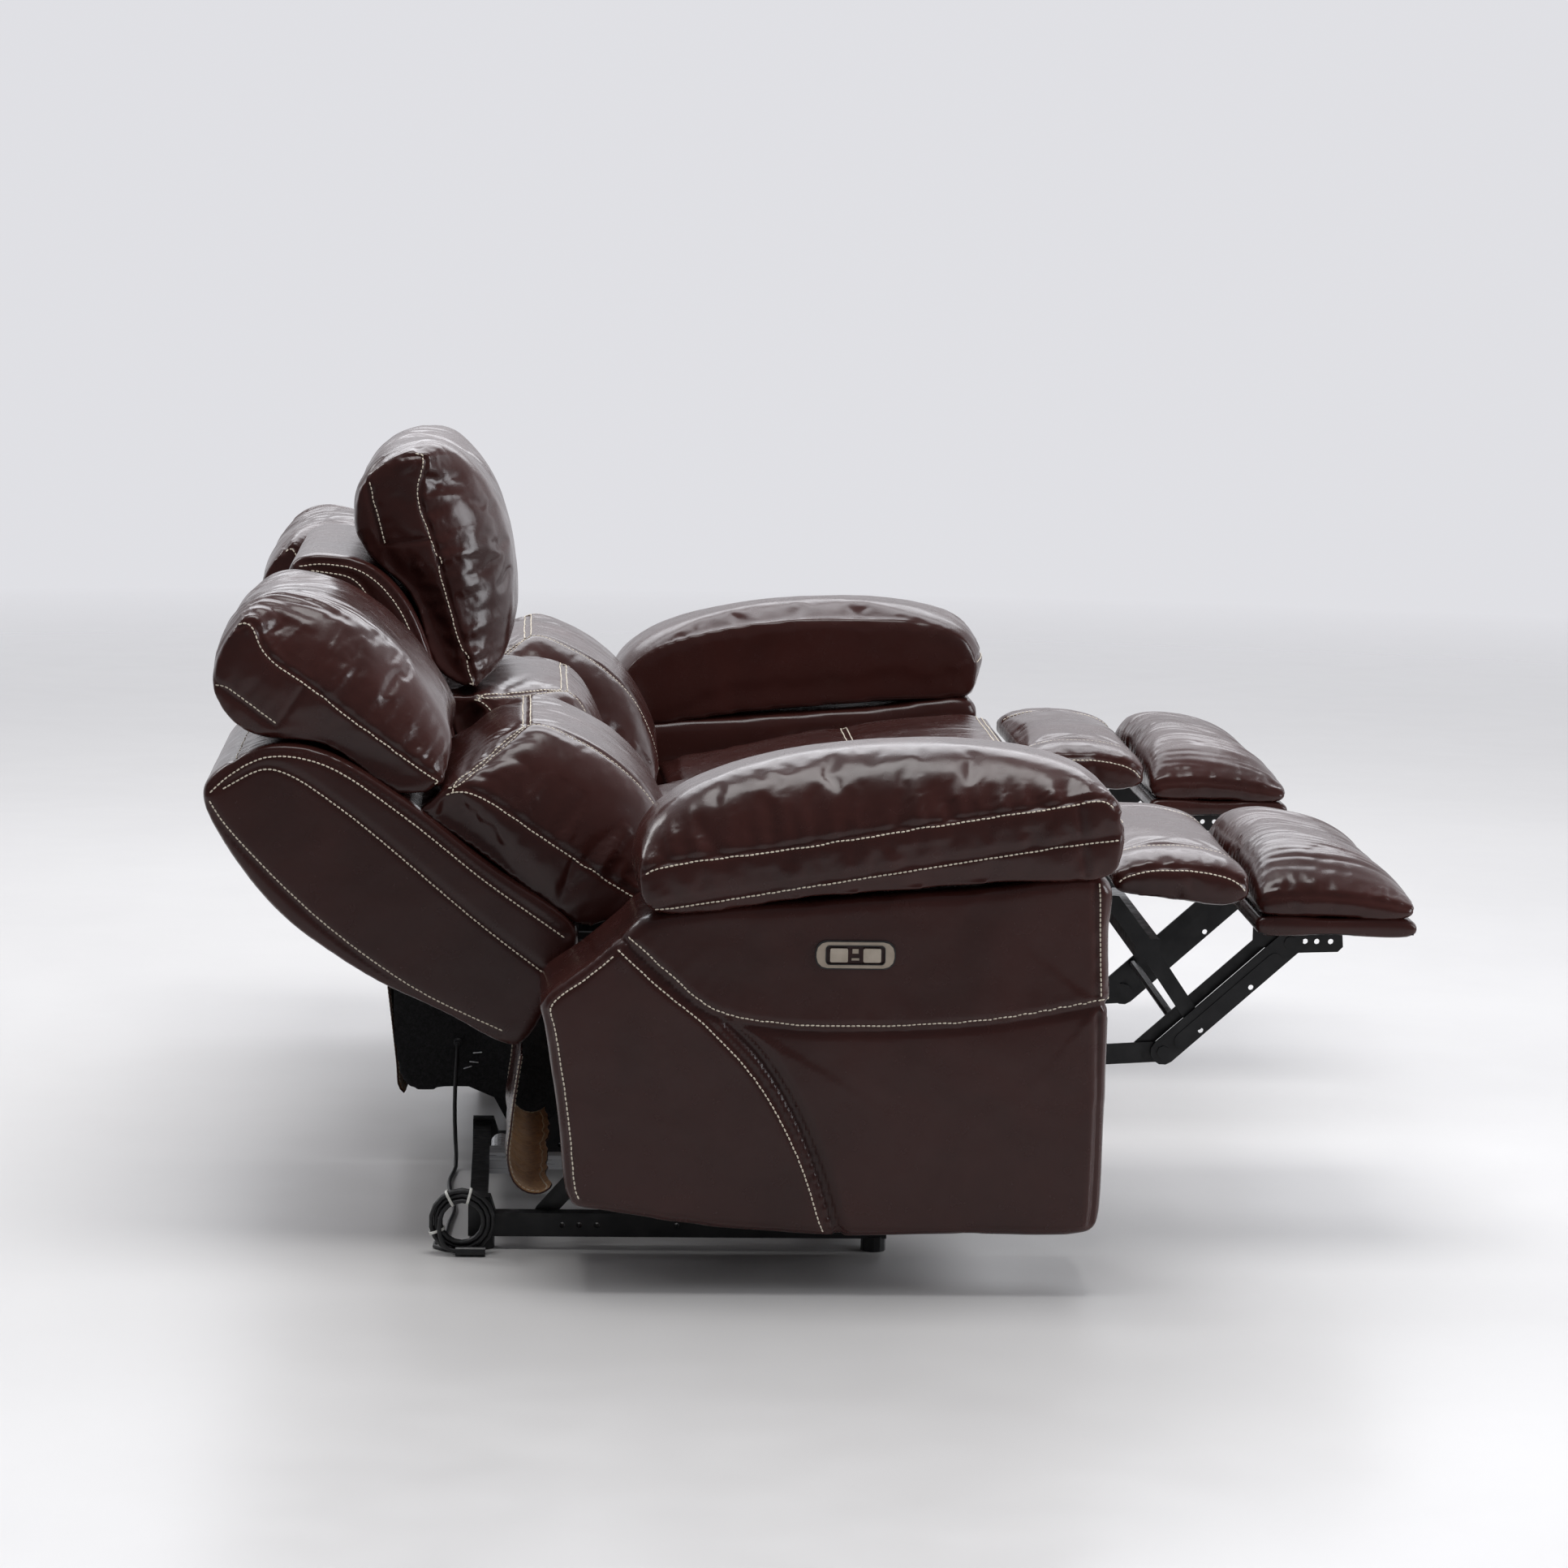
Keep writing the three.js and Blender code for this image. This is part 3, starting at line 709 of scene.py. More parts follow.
def bead_mesh(name, places):
    sides, rings = 5, ((-1, 0.5), (-0.55, 1), (0.55, 1), (1, 0.5))
    points, faces = [], []
    for spot, along, up in places:
        across = np.cross(along, up)
        across /= max(np.linalg.norm(across), 1e-9)
        lift = np.cross(across, along)
        base = len(points)
        for t, r in rings:
            for k in range(sides):
                turn = 2 * math.pi * k / sides
                offset = across * math.cos(turn) + lift * (math.sin(turn) * 0.8)
                middle = spot + along * (t * BEAD_HALF) + lift * 0.0003
                points.append(middle + offset * (BEAD_RADIUS * r))
        faces += quads(len(rings), sides, first=base)
        faces.append([base + k for k in reversed(range(sides))])
        faces.append([base + (len(rings) - 1) * sides + k for k in range(sides)])
    return new_object(name, mesh_from(name, points, faces), STITCH)


def mirrored(obj, name):
    """A copy on the other side of the sofa's middle plane."""
    mesh = obj.data.copy()
    mesh.name = name
    with edited(mesh) as made:
        for vertex in made.verts:
            vertex.co.y = -vertex.co.y
        bmesh.ops.reverse_faces(made, faces=made.faces)
    return placed(name, mesh)


# ------------------------------------------------------------------ outlines, mm, as (x, z)
HEAD = [
    (-744, 692), (-659, 684), (-562, 618), (-505, 640), (-488, 674), (-512, 724), (-560, 788),
    (-627, 846), (-690, 873), (-747, 876), (-789, 834), (-811, 770), (-793, 722),
]
HEAD_END = [
    (-744, 694), (-659, 684), (-562, 620), (-512, 624), (-500, 634), (-530, 656), (-606, 710),
    (-682, 768), (-735, 806), (-757, 850), (-786, 828), (-808, 768), (-790, 722),
]
LUMBAR = [
    (-540, 608), (-496, 622), (-454, 660), (-420, 688), (-378, 706), (-327, 688), (-262, 648),
    (-212, 592), (-182, 510), (-184, 468), (-245, 456), (-306, 446), (-330, 454), (-442, 534),
]
LUMBAR_END = [
    (-536, 606), (-512, 618), (-494, 628), (-470, 628), (-443, 618), (-377, 574), (-311, 530),
    (-250, 492), (-203, 468), (-195, 458), (-245, 450), (-306, 442), (-330, 450), (-442, 532),
]
SHELL = [
    (-822, 614), (-812, 640), (-790, 658), (-735, 684), (-659, 676), (-547, 611), (-437, 526),
    (-325, 448), (-316, 420), (-331, 388), (-386, 286), (-404, 278), (-500, 324), (-614, 380),
    (-734, 472),
]
SEAT = [
    (-166, 428), (-170, 452), (-100, 466), (-3, 486), (70, 502), (140, 514), (262, 530), (366, 536),
    (389, 524), (386, 508), (300, 497), (215, 498), (60, 446), (-58, 402),
]
CALF = [
    (404, 502), (402, 532), (440, 548), (480, 551), (520, 549), (565, 538), (586, 522), (588, 496),
    (560, 482), (504, 486), (460, 492),
]
FOOT = [
    (598, 472), (595, 508), (612, 544), (650, 553), (690, 549), (754, 532), (798, 504), (818, 482),
    (812, 468), (700, 467),
]
APRON = [(599, 444), (599, 463), (700, 464), (806, 463), (818, 453), (813, 442), (700, 441)]
ARM = [
    (-369, 386), (-363, 352), (-345, 240), (-331, 126), (-322, 115), (-277, 108), (-119, 86), (19, 79),
    (180, 81), (350, 84), (361, 93), (368, 220), (370, 380), (368, 480), (364, 553), (200, 541), (0, 524),
    (-236, 499), (-264, 474), (-316, 430),
]
PAD = [
    (-228, 508), (-250, 560), (-232, 614), (-169, 660), (-23, 698), (166, 711), (282, 702), (352, 676),
    (380, 640), (382, 592), (368, 562), (220, 549), (0, 529),
]
PAD_OUTER = [
    (-226, 508), (-240, 530), (-246, 550), (-236, 560), (-43, 592), (165, 629), (290, 650), (362, 662),
    (376, 644), (381, 592), (368, 562), (220, 549), (0, 529),
]
PAD_INNER = [
    (-220, 512), (-238, 556), (-220, 604), (-160, 644), (-23, 680), (166, 692), (280, 684), (340, 662),
    (364, 630), (368, 592), (360, 566), (220, 551), (0, 531),
]
ROLL = [
    (162, 306), (190, 307), (221, 350), (229, 400), (226, 450), (206, 488), (168, 494), (157, 440),
    (156, 370),
]
PANEL = [
    (162, 86), (180, 86), (192, 130), (194, 200), (190, 262), (180, 292), (164, 298), (156, 230),
    (156, 150),
]
SIDE_LINER = [
    (-561, 112), (-470, 108), (-430, 92), (-398, 34), (-250, 33), (151, 33), (151, 398), (-255, 398),
    (-263, 341), (-420, 341), (-561, 341),
]
SHELL_SEAMS = [
    [(-815, 622), (-786, 648), (-735, 673), (-659, 663), (-551, 594), (-442, 508), (-334, 432)],
    [(-796, 628), (-741, 656), (-708, 650), (-628, 598), (-443, 445), (-352, 376)],
    [(-818, 606), (-788, 566), (-663, 442), (-527, 346), (-420, 296)],
]
MIDDLE_SEAT = [
    (-262, 404), (-268, 452), (-200, 484), (-120, 502), (-60, 516), (30, 526), (100, 531), (176, 537),
    (200, 524), (198, 508), (150, 500), (141, 404),
]


def inset(points, amount):
    """The outline drawn in by an amount towards its own middle line."""
    array = np.array(points, float)
    before, after = np.roll(array, 1, axis=0), np.roll(array, -1, axis=0)
    along = after - before
    along /= np.linalg.norm(along, axis=1)[:, None]
    area = np.sum(array[:, 0] * after[:, 1] - after[:, 0] * array[:, 1])
    inward = np.stack([-along[:, 1], along[:, 0]], axis=1) * (1 if area > 0 else -1)
    return [tuple(p) for p in array + inward * amount]


def lowered(points, drop, first, last):
    """The outline with the points from first to last let down, for a crowned top."""
    return [(x, z - drop) if first <= i <= last else (x, z) for i, (x, z) in enumerate(points)]


def head_piece(shape, ends, inner, outer, front):
    """A head cushion: one roll whose gathered rims meet flat ends."""
    loft = Loft(shape, ends, inner, outer, 88)
    middle = (front[0], (inner + outer) / 2, front[1])
    seams = []
    for y in (inner, outer):
        rim = path_on(loft, [(3.2, y), (9.6, y)], 200)
        seams.append(Seam(rim, middle, depth=3.5, width=4.5, pucker=4.6, reach=36, pitch=18))
        foot = (ends[0][0] + 20, ends[0][1] + 12)
        rear = flat_path([(ends[11][0] + 4, ends[11][1] - 3), foot], y)
        seams.append(Seam(rear, middle, rows=(4.5,), depth=2.5, pucker=1.8, reach=26, pitch=16))
        cross = flat_path([foot, ends[7]], y)
        seams.append(Seam(cross, rows=(), depth=2.2, width=3.5))
    return loft, seams


def lumbar_piece(shape, ends, inner, outer):
    """A lumbar cushion: a belly between two gathered side panels, with a seam across it."""
    loft = Loft(shape, ends, inner, outer, 100)
    middle_y = (inner + outer) / 2
    belly = (shape[6][0], middle_y, shape[6][1])
    seams = []
    for y, step in ((inner, 1), (outer, -1)):
        rim = path_on(loft, [(1.6, y), (8.6, y)], 200)
        seams.append(Seam(rim, belly, depth=3.5, width=4.5, pucker=5.0, reach=44, pitch=21,
                          swell=(0.4, 1.9)))
        inside = y + step * 98
        long = path_on(loft, [(3.7, inside), (8.4, inside)], 200)
        seams.append(Seam(long, belly, rows=(-4,), depth=2.2, width=4, pucker=0.9, reach=28,
                          pitch=26))
        arch = path_on(loft, [(2.0, y), (2.9, y + step * 40), (3.7, inside)], 60)
        seams.append(Seam(arch, belly, rows=(-5, 5), depth=3.2, width=5, pucker=1.4, reach=30))
        drop = flat_path([(shape[5][0] + 4, ends[6][1] + 14),
                          (shape[5][0] - 10, ends[6][1] - 32)], y)
        seams.append(Seam(drop, rows=(), depth=2.0, width=3.5))
    across = path_on(loft, [(3.7, inner + 98), (3.7, outer - 98)], 120)
    seams.append(Seam(across, belly, rows=(-5, 5), depth=3.2, width=5, pucker=1.2, reach=34))
    return loft, seams


def rims(loft, stops, toward, **options):
    return [Seam(path_on(loft, [(u, y) for u in stops], 120), toward, **options)
            for y in (loft.y0 / MM, loft.y1 / MM)]


def shell_piece(shape, lines, towards, inner, outer):
    """A back shell with its rim, panel and rear seams on both side faces."""
    loft = Loft(shape, inset(shape, 5), inner, outer, 12)
    looks = ((4.5, 2.6, 4.5), (4, 2.2, 4), (5, 2.4, 4))
    seams = [Seam(flat_path(line, y), (x, y, z), rows=(row,), depth=depth, width=width)
             for y in (inner + 1, outer - 1)
             for line, (x, z), (row, depth, width) in zip(lines, towards, looks)]
    return loft, seams


def seat_piece(shape, inner, outer, rear, middle, top):
    """A seat cushion with gathered rims from the rear forward, and two double seams across it."""
    loft = Loft(shape, lowered(shape, 14, 2, 7), inner, outer, 60)
    seams = rims(loft, (rear, 7.9), top, depth=3, pucker=1.6, reach=30, pitch=22)
    seams += [crossing(loft, middle, rows=(-5, 5), depth=2.6, pucker=0.8, reach=30),
              crossing(loft, 7.05, rows=(-5, 5), depth=2.6, pucker=1.4, reach=30, pitch=20)]
    return loft, seams


def crossing(loft, u, margin=0, **options):
    low, high = loft.y0 / MM + margin, loft.y1 / MM - margin
    return Seam(path_on(loft, [(u, low), (u, high)], 120), (0, 0, 3000), **options)


def wrinkle(centre, radius, size=2.2, stretch=7):
    return (Y_AXIS, size * MM, stretch, np.array(centre) * MM, radius * MM)


SHELL_LOOKS = dict(voxel=8.5, fill=0.3, simulate=False, soften=0.8)
BELOW = ((0, 0, -1), 1.5)


def recliner_upholstery(add):
    """Head, lumbar, seat, calf and foot pads, the foot board's wrap, the arm, its pad and the shell."""
    loft, seams = head_piece(HEAD, HEAD_END, -834, -306, (-560, 800))
    add("right_head_cushion", loft, seams, puff=16, hold=[(BACK_FACE, 2)], fill=0.85,
        wrinkles=[wrinkle((-740, -760, 860), 210, 3.0), wrinkle((-700, -420, 860), 190, 2.2)])
    loft, seams = lumbar_piece(LUMBAR, LUMBAR_END, -838, -302)
    add("right_lumbar_cushion", loft, seams, puff=14, hold=[(BACK_FACE, 2), ((0.3, 0, -1), 3)], fill=0.8,
        wrinkles=[wrinkle((-420, -760, 690), 150, 2.4)])

    add("right_seat_cushion", *seat_piece(SEAT, -846, -294, 2.2, 5, (120, -570, 900)), puff=8,
        hold=[BELOW, ((1, 0, 0), 2)], fill=0.7, voxel=8.5)

    loft = Loft(CALF, lowered(CALF, 16, 1, 6), -846, -294, 64)
    seams = rims(loft, (0.9, 6.3), (500, -570, 900), depth=3.2, pucker=3.0, reach=30, pitch=16)
    seams += [Seam(path_on(loft, [(1.1, y), (6.2, y)], 90), (500, -570, 900), rows=(-4,), depth=2.2,
                   pucker=0.8, reach=24) for y in (-756, -384)]
    add("right_calf_pad", loft, seams, puff=9, hold=[BELOW, ((-1, 0, 0), 1)], fill=0.7)

    foot_end = [(602, 472), (598, 482), (606, 492), (650, 497), (690, 497), (754, 491), (798, 484),
                (816, 479), (811, 468), (700, 467)]
    loft = Loft(FOOT, foot_end, -846, -294, 120)
    seams = rims(loft, (1.4, 7.3), (690, -570, 900), depth=3.2, rows=(), pucker=2.2, reach=36, pitch=15)
    seams += [crossing(loft, 7.5, 10, rows=(), depth=2.2)]
    add("right_foot_pad", loft, seams, puff=9, hold=[((0, 0, -1), 1)], fill=0.75,
        wrinkles=[wrinkle((700, y, 530), 190, 2.0, stretch=5) for y in (-780, -600, -420)])

    loft = Loft(APRON, inset(APRON, 4), -843, -297, 8)
    add("right_foot_apron", loft, [], voxel=5, simulate=False, soften=0.5)

    loft = Loft(ARM, inset(ARM, 9), -1098, -858, 16)
    plane = -1099
    hem = [(-266, 474), (-208, 422), (-147, 374), (-58, 356), (66, 354), (217, 364), (353, 389),
           (370, 392)]
    diagonal = [(-270, 463), (-208, 407), (-150, 360), (-83, 287), (-29, 190), (9, 78)]
    corner = [(-128, 366), (-84, 322), (-38, 250), (-2, 165), (24, 79)]
    seams = [
        Seam(flat_path(hem, plane), (60, plane, 900), rows=(6,), depth=5.5, width=5, step=2.2,
             pucker=0.5, reach=24),
        Seam(flat_path(diagonal, plane), (-300, plane, 150), rows=(5,), depth=3.6, width=4.5,
             step=1.0),
        Seam(flat_path(corner, plane), (200, plane, 150), rows=(), depth=9, width=8, step=2.6),
        Seam(flat_path([(347, 552), (353, 400)], plane), (0, plane, 450), rows=(-5,), depth=2.6,
             width=4),
        Seam(flat_path([(356, 378), (360, 240), (357, 92)], plane), (0, plane, 200), rows=(),
             depth=5, width=6),
        Seam(path_on(loft, [(12.1, -1090), (12.1, -866)], 80), (370, -980, 900), rows=(6,),
             depth=4.5, step=1.6),
        Seam(path_on(loft, [(18.4, -1096), (23.6, -1096)], 240), (0, plane, 250), rows=(6,),
             depth=2.6, width=4),
    ]
    add("right_arm_body", loft, seams, voxel=9, fill=0.3, simulate=False, soften=1.1)

    loft = Loft(PAD, PAD_OUTER, -1104, -860, 78, far_ends=PAD_INNER)
    crown = (100, -980, 1100)
    lower = [(-225, 513), (-22, 547), (187, 583), (340, 608), (375, 612)]
    seams = [
        Seam(path_on(loft, [(2.6, -1103), (7.6, -1103)], 240), crown, rows=(-5,), depth=4, width=5,
             pucker=6.4, reach=34, pitch=22),
        Seam(flat_path(lower, -1104), crown, rows=(-5,), depth=2.8, pucker=2.8, reach=26, pitch=26),
        Seam(flat_path([(322, 654), (329, 604), (334, 562)], -1104), (0, -1104, 600), rows=(),
             depth=2.6),
        Seam(path_on(loft, [(8.2, -1096), (8.2, -868)], 80), crown, rows=(-5,), depth=3.4, pucker=3.2,
             reach=30, pitch=20),
    ]
    add("right_arm_pad", loft, seams, puff=13, hold=[BELOW, ((0, 1, 0), 1.5)], fill=0.85)

    towards = ((-560, 480), (-560, 400), (-560, 600))
    loft, seams = shell_piece(SHELL, SHELL_SEAMS, towards, -844, -296)
    seams.append(crossing(loft, 2.2, 12, rows=(4,), depth=3, pucker=2.2, reach=26, pitch=15))
    add("right_back_shell", loft, seams, **SHELL_LOOKS)


def middle_upholstery(add):
    high = [(x, z + 12) if z > 980 else (x, z) for x, z in upright(HEAD)]
    high_end = [(x, z + 8) if z > 980 else (x, z) for x, z in upright(HEAD_END)]
    loft, seams = head_piece(high, high_end, -264, 264, (-500, 950))
    add("middle_head_cushion", loft, seams, puff=15, hold=[(UPRIGHT_BACK_FACE, 2)], fill=0.85,
        wrinkles=[wrinkle((-640, -200, 1040), 200, 2.6), wrinkle((-640, 180, 1040), 190, 2.2)])
    loft, seams = lumbar_piece(upright(LUMBAR), upright(LUMBAR_END), -268, 268)
    add("middle_lumbar_cushion", loft, seams, puff=14,
        hold=[(UPRIGHT_BACK_FACE, 2), ((0, 0, -1), 2)], fill=0.8)
    lines = [upright(line) for line in SHELL_SEAMS]
    towards = upright([(-560, 480)]) * 3
    add("middle_back_shell", *shell_piece(upright(SHELL), lines, towards, -274, 274), **SHELL_LOOKS)
    add("middle_seat_cushion", *seat_piece(MIDDLE_SEAT, -275, 275, 1.6, 4, (0, 0, 900)), puff=8,
        hold=[BELOW], fill=0.7, voxel=8.5)
    for name, y in (("middle_side_liner", -278.2), ("middle_side_liner_far", 274.2)):
        loft = Loft(SIDE_LINER, inset(SIDE_LINER, 1), y, y + 4, 1.9)
        liner = add(name, loft, [], voxel=5, simulate=False, soften=2.2)
        liner.obj.data.materials[0] = LINER
    loft = Loft(ROLL, inset(ROLL, 12), -274, 274, 40)
    seams = rims(loft, (0.8, 6.2), (300, 0, 400), depth=3, pucker=2.2, reach=28, pitch=18)
    add("middle_front_roll", loft, seams, puff=10, hold=[((-1, 0, 0), 1), ((0, 0, -1), 2)], fill=0.8)
    loft = Loft(PANEL, inset(PANEL, 5), -274, 274, 18)
    seams = [Seam(path_on(loft, [(1.6, y), (5.2, y)], 80), (300, 0, 200), rows=(4,), depth=2.6)
             for y in (-262, 262)]
    add("middle_front_panel", loft, seams, puff=5, hold=[((-1, 0, 0), 1)], fill=0.4)


def make_soft_pieces():
    """Upholstery of the near recliner and the middle seat; the far recliner mirrors the near one."""
    made = {}

    def add(name, loft, seams, **options):
        made[name] = Soft(name, loft, seams, **options)
        return made[name]

    recliner_upholstery(add)
    middle_upholstery(add)
    return made


def simulate(pieces):
    swelling = [p for p in pieces if p.simulate]
    for piece in swelling:
        piece.start_cloth()
    scene = bpy.context.scene
    for step in range(1, CLOTH_FRAMES + 1):
        scene.frame_set(step)
    depsgraph = bpy.context.evaluated_depsgraph_get()
    results = [coordinates(p.obj.evaluated_get(depsgraph).data) for p in swelling]
    for piece, swollen in zip(swelling, results):
        piece.obj.modifiers.clear()
        piece.obj.vertex_groups.clear()
        piece.settle(swollen)
    scene.frame_set(1)


soft = make_soft_pieces()
simulate(list(soft.values()))

BARE = ("foot_apron", "side_liner", "side_liner_far")
BODY_OF = {
    "head_cushion": "back", "lumbar_cushion": "back", "back_shell": "back", "seat_cushion": "carriage",
    "arm_body": "carriage", "arm_pad": "carriage", "calf_pad": "calf", "foot_pad": "foot",
    "foot_apron": "foot",
}


def settle_piece(obj, threads, name, side, kind):
    body = "base" if side is None else f"{side}_{BODY_OF[kind]}"
    for piece in (obj, threads):
        if piece is None:
            continue
        if side and kind == "seat_cushion":
            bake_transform(piece)
        else:
            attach(piece, body)
    if kind not in BARE:
        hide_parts(name)


for name, piece in soft.items():
    piece.sew()
    threads = piece.stitches()
    side, kind = name.split("_", 1)
    if side == "right":
        twin = f"left_{kind}"
        cover = mirrored(piece.obj, twin + "_cover")
        sewn = threads and mirrored(threads, twin + "_stitching")
        settle_piece(cover, sewn, twin, "left", kind)
    piece.obj.name = name + "_cover"
    settle_piece(piece.obj, threads, name, side if side == "right" else None, kind)


# ------------------------------------------------------------------ flaps, switch plate and staples
class Flap:
    """A hung flap of hide: leather behind, suede in front, its edges turned and stitched."""

    def __init__(self, profile, y0, y1, sway, thick=2.4):
        line = resample(spline(profile, 8, closed=False), 8)
        self.line, self.y0, self.y1, self.sway, self.thick = line, y0, y1, sway, thick
        self.length = float(np.sum(np.linalg.norm(np.diff(line, axis=0), axis=1)))

    def point(self, row, y, lift=0.0):
        row = min(max(row, 0), len(self.line) - 1)
        i = min(int(row), len(self.line) - 2)
        x, z = self.line[i] + (self.line[i + 1] - self.line[i]) * (row - i)
        along = self.line[i + 1] - self.line[i]
        out = np.array([-along[1], along[0]]) / np.linalg.norm(along)
        down = row / (len(self.line) - 1)
        broad = noise.noise((y * 0.011, down * 1.7, 4.2))
        wave = self.sway * down * (broad + 0.4 * noise.noise((y * 0.03, down, 9)))
        return np.array([x - out[0] * lift + wave, y, z - out[1] * lift]) * MM

    def mesh_object(self, name):
        columns = np.linspace(self.y0, self.y1, 56)
        rows, wide = len(self.line), len(columns)
        points = [self.point(r, y, lift)
                  for lift in (0, self.thick) for r in range(rows) for y in columns]
        layer = rows * wide
        faces, tints = [], []
        for r in range(rows - 1):
            for c in range(wide - 1):
                a = r * wide + c
                faces.append([a, a + 1, a + wide + 1, a + wide])
                tints.append(1)
                faces.append([a + layer + wide, a + layer + wide + 1, a + layer + 1, a + layer])
                tints.append(0)
        border = [*range(wide), *(r * wide + wide - 1 for r in range(1, rows))]
        border += [(rows - 1) * wide + c for c in reversed(range(wide - 1))]
        border += [r * wide for r in reversed(range(1, rows - 1))]
        for a, b in zip(border, border[1:] + border[:1]):
            faces.append([b, a, a + layer, b + layer])
            tints.append(0)
        obj = new_object(name, mesh_from(name, points, faces), HIDE, SUEDE)
        face_outward(obj.data)
        for polygon, tint in zip(obj.data.polygons, tints):
            polygon.material_index = tint
        return obj

    def thread(self, name):
        rows = len(self.line) - 1
        per_mm = rows / self.length
        places = []
        pitch = STITCH_PITCH / MM
        tracks = [[(r * per_mm, y) for r in np.arange(6, self.length - 8, pitch)]
                  for y in (self.y0 + 8, self.y1 - 8)]
        tracks.append([(rows - 8 * per_mm, y) for y in np.arange(self.y0 + 10, self.y1 - 10, pitch)])
        for track in tracks:
            for (r0, y0), (r1, y1) in zip(track, track[1:]):
                for lift, face in ((self.thick, 1), (0, -1)):
                    spot, ahead = self.point(r0, y0, lift), self.point(r1, y1, lift)
                    up = (self.point(r0, y0, self.thick) - self.point(r0, y0, 0)) * face
                    along = ahead - spot
                    places.append((spot, along / np.linalg.norm(along), up / np.linalg.norm(up)))
        return bead_mesh(name, places)


def hang_flap(flap, name, body, above):
    """Hangs the flap from its shell, and its mirror image too where it belongs to a recliner."""
    obj, sewn = flap.mesh_object(name + "_cover"), flap.thread(name + "_stitching")
    for twin in (False, True) if name.startswith("right") else (False,):
        pieces = (obj, sewn)
        if twin:
            name, body, above = (word.replace("right", "left") for word in (name, body, above))
            pieces = (mirrored(obj, name + "_cover"), mirrored(sewn, name + "_stitching"))
        for piece in pieces:
            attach(piece, body)
        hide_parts(name)


REAR_FLAP = [
    (-391, 268), (-397, 225), (-404, 165), (-409, 122), (-402, 93), (-386, 80), (-367, 79), (-355, 86),
]
MIDDLE_FLAP = [
    (-592, 338), (-590, 290), (-584, 240), (-578, 190), (-572, 140), (-569, 108), (-562, 100),
]
hang_flap(Flap(REAR_FLAP, -840, -300, 9), "right_back_skirt", "right_skirt",
          "right_back_shell_cover")
hang_flap(Flap(MIDDLE_FLAP, -270, 270, 5), "middle_back_skirt", "base", "middle_back_shell_cover")


def rounded_rectangle(width, height, radius, steps=6):
    out = []
    for corner in range(4):
        cx = (width / 2 - radius) * (1 if corner in (0, 3) else -1)
        cz = (height / 2 - radius) * (1 if corner in (0, 1) else -1)
        for k in range(steps + 1):
            turn = math.pi / 2 * (corner + k / steps)
            out.append((cx + radius * math.cos(turn), cz + radius * math.sin(turn)))
    return out


def frame_ring(name, centre, outer, inner, y0, y1, material):
    """A flat frame in XZ between two outlines of the same count, or a plate where inner is None."""
    lines = [outer, outer] + ([inner, inner] if inner else [])
    levels = [y0, y1] + ([y1, y0] if inner else [])
    count = len(outer)
    points = [((centre[0] + x) * MM, y * MM, (centre[1] + z) * MM)
              for line, y in zip(lines, levels) for x, z in line]
    faces = quads(len(lines), count, closed=bool(inner))
    if not inner:
        faces += [list(reversed(range(count))), list(range(count, 2 * count))]
    obj = new_object(name, mesh_from(name, points, faces), material)
    face_outward(obj.data)
    for polygon in obj.data.polygons:
        polygon.use_smooth = False
    return obj


SWITCH = (37, 453)


def plate_details():
    """The dark gasket round the switch plate, the pale lip of its recess and the dark floor in it."""
    gasket = (rounded_rectangle(104.5, 37.5, 15.5), rounded_rectangle(100, 33, 13.6))
    lip = (rounded_rectangle(77.6, 25.6, 5.6), rounded_rectangle(75.4, 23.4, 4.8))
    floor = rounded_rectangle(75.6, 23.6, 4.8)
    parts = [
        frame_ring("right_switch_gasket", SWITCH, *gasket, -1101.4, -1096.5, BLACK),
        frame_ring("right_switch_lip", SWITCH, *lip, -1103.6, -1101.9, BLACK),
        frame_ring("right_switch_floor", SWITCH, floor, None, -1093.7, -1092.2, BLACK),
    ]
    for part in list(parts):
        parts.append(mirrored(part, part.name.replace("right", "left")))
    for part in parts:
        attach(part, part.name.split("_")[0] + "_carriage")


def liner_staples():
    """Three rows of zinc wire where the liner is stapled to the middle base."""
    places = []
    for x, z, lean in ((-457, 161, 0.1), (-462, 147, -0.1), (-471, 139, 0.3)):
        along = np.array([math.cos(lean), 0, math.sin(lean)])
        for shift in (-4.2, 0, 4.2):
            places.append((np.array([x, -277.4, z]) * MM + along * shift * MM, along, -Y_AXIS))
    staples = bead_mesh("liner_staples", places)
    staples.data.materials[0] = ZINC
    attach(staples, "base")


plate_details()
liner_staples()

# ------------------------------------------------------------------ carried-over parts
STEEL_NODES = (
    "base_frame", "front_swing_links", "rear_swing_links", "carriage_frame", "lower_links",
    "upper_links", "inner_long_link", "outer_long_link", "stay_links", "foot_bracket", "back_frame",
)
FINISHES = {"middle_base": LINER, "lead_strain_relief": BLACK, "lead_plug": BLACK}
for side in SIDES:
    FINISHES.update({f"{side}_{node}": STEEL for node in STEEL_NODES})
    FINISHES.update({
        f"{side}_control_plate": TRIM, f"{side}_open_button": KEYCAP, f"{side}_close_button": KEYCAP,
        f"{side}_actuator": ZINC,
    })
for name, material in FINISHES.items():
    slots = NODES[name].material_slots
    for slot in slots:
        slot.material = material
    if not slots:
        NODES[name].data.materials.append(material)


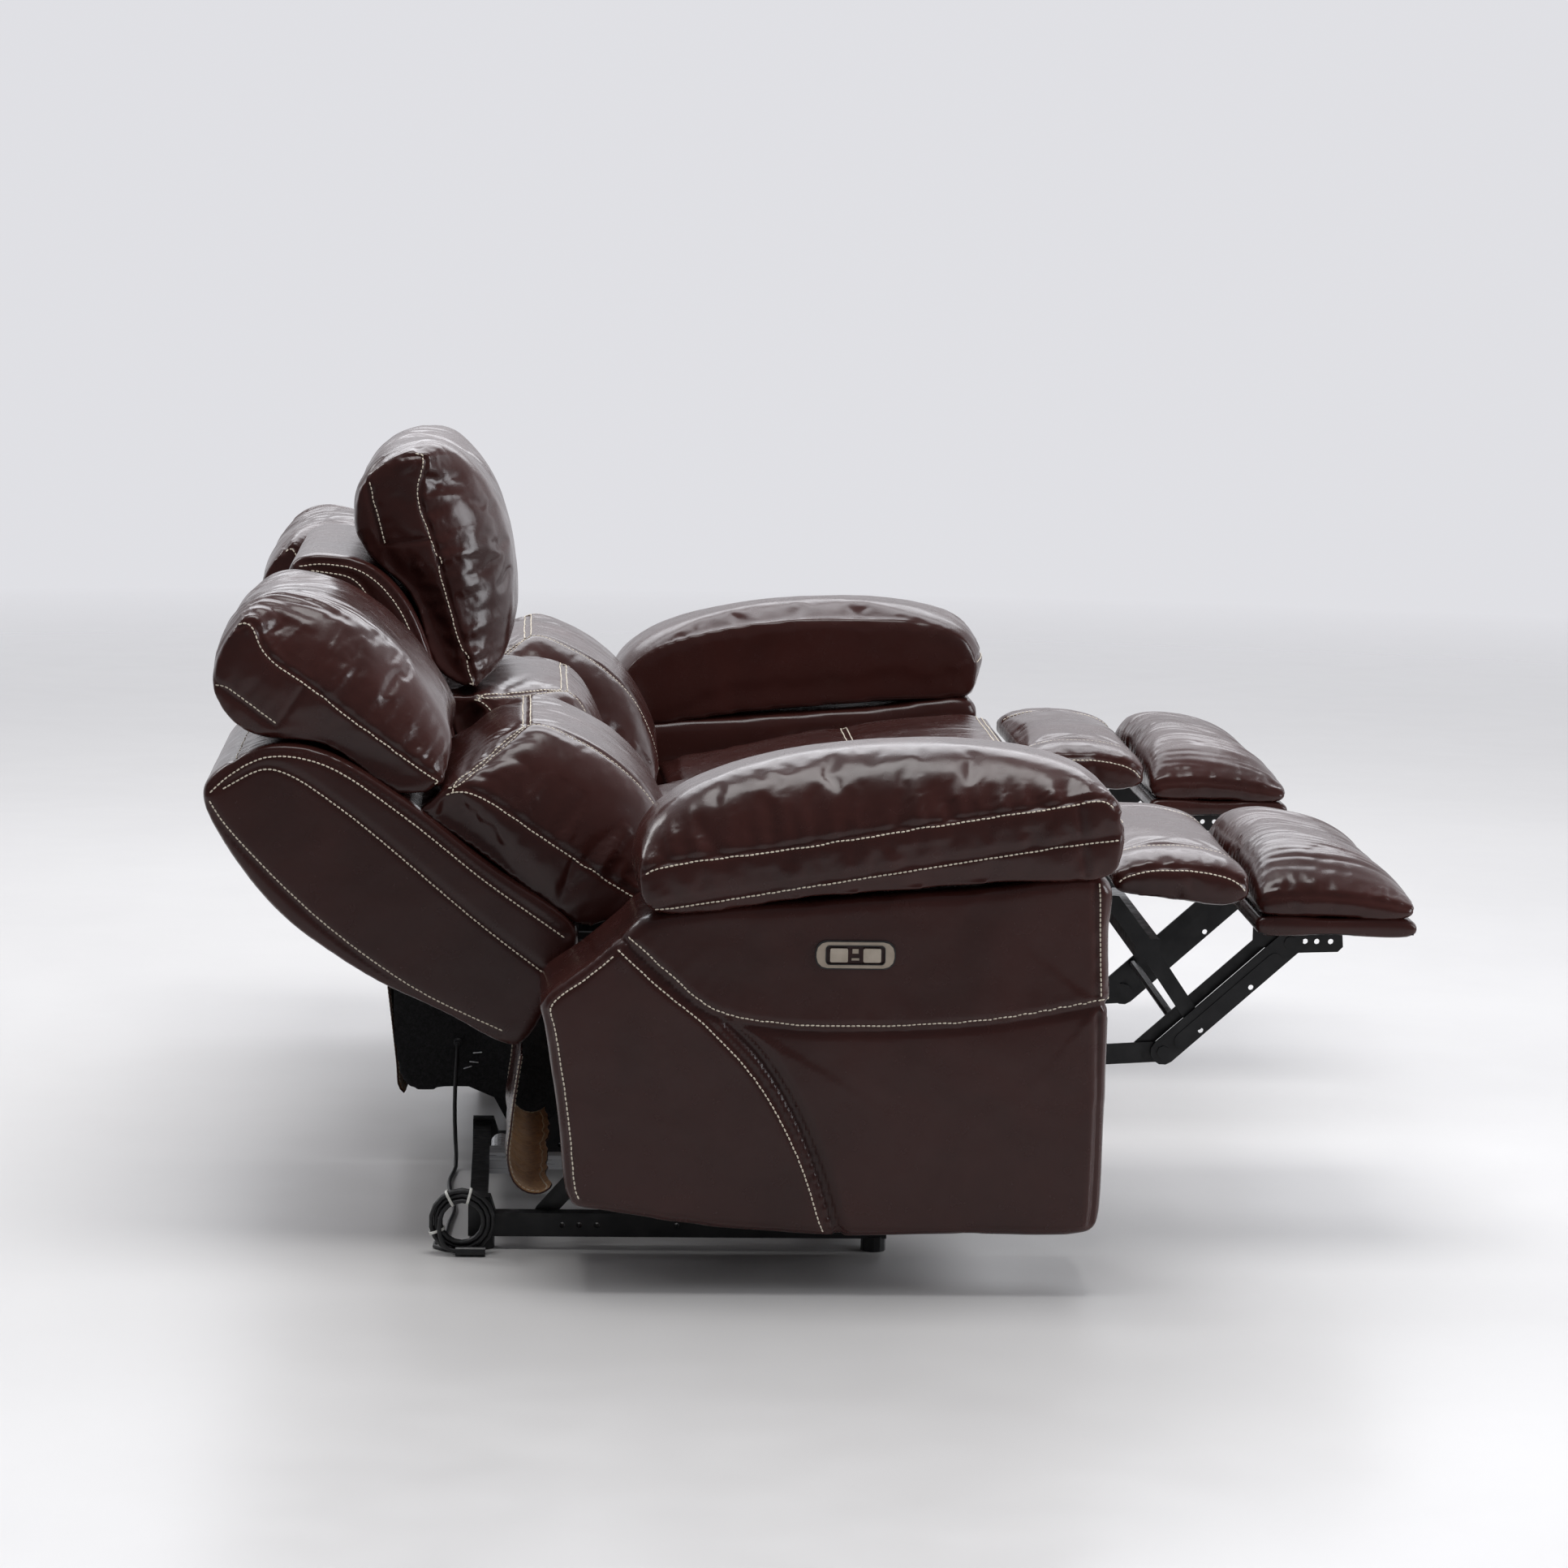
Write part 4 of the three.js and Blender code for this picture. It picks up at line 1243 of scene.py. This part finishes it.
# ------------------------------------------------------------------ stage
def make_stage():
    """A pale floor that fades into a pale surround, brighter behind the sofa, under soft lamps."""
    turns = [2 * math.pi * k / 96 for k in range(96)]
    rim = [(FLOOR_RADIUS * math.cos(t), FLOOR_RADIUS * math.sin(t), 0) for t in turns]
    s = Shader("pale_floor")
    pale = [(0.3, (0.64, 0.630, 0.622)), (0.7, (0.67, 0.660, 0.650))]
    s.link(s.ramp(s.noise(1.5, 3), pale), "Base Color")
    s.link(s.span(s.noise(8, 3), 0.3, 0.7, 0.30, 0.36), "Roughness")
    away = s.node("VectorMath", set_operation="LENGTH", i0=s.place).outputs["Value"]
    s.link(s.span(away, FLOOR_RADIUS * 0.45, FLOOR_RADIUS * 0.95, 1, 0), "Alpha")
    new_object("floor", mesh_from("floor", rim, [list(range(96))]), s.material)
    world = bpy.data.worlds.new("studio")
    world.use_nodes = True
    nodes, link = world.node_tree.nodes, world.node_tree.links.new
    background = nodes["Background"]
    background.inputs["Color"].default_value = (0.955, 0.957, 1, 1)
    way = nodes.new("ShaderNodeSeparateXYZ")
    link(nodes.new("ShaderNodeTexCoord").outputs["Generated"], way.inputs[0])
    shade = nodes.new("ShaderNodeMapRange")
    shade.interpolation_type = "SMOOTHSTEP"
    link(way.outputs["Y"], shade.inputs["Value"])
    for socket, number in zip(SPAN_ENDS, (-0.5, 0.6, 0.17, 0.78)):
        shade.inputs[socket].default_value = number
    link(shade.outputs["Result"], background.inputs["Strength"])
    bpy.context.scene.world = world
    bpy.context.scene.view_settings.view_transform = "Standard"
    add_light("overhead", (-0.2, -1.0, 4.4), (-0.2, -1.0, 0), (2.4, 1.8), 95, WHITE)
    add_light("rear_overhead", (0.0, 2.9, 4.2), (0, -0.5, 0.7), (4.4, 2.0), 105)
    add_light("back_strip", (0.2, 6.5, 4.0), (0, 0, 0.6), (6.5, 1.7), 110)
    add_light("front", (4.5, -2.1, 2.0), (-0.3, -0.2, 0.8), (1.9, 2.2), 120)
    add_light("window", (5.2, 2.3, 2.3), (0, 0, 0.7), (3.6, 2.6), 40)
    add_light("rear", (-3.2, 1.4, 3.2), (-0.4, 0, 0.7), (1.2, 1.0), 30, WHITE)


make_stage()
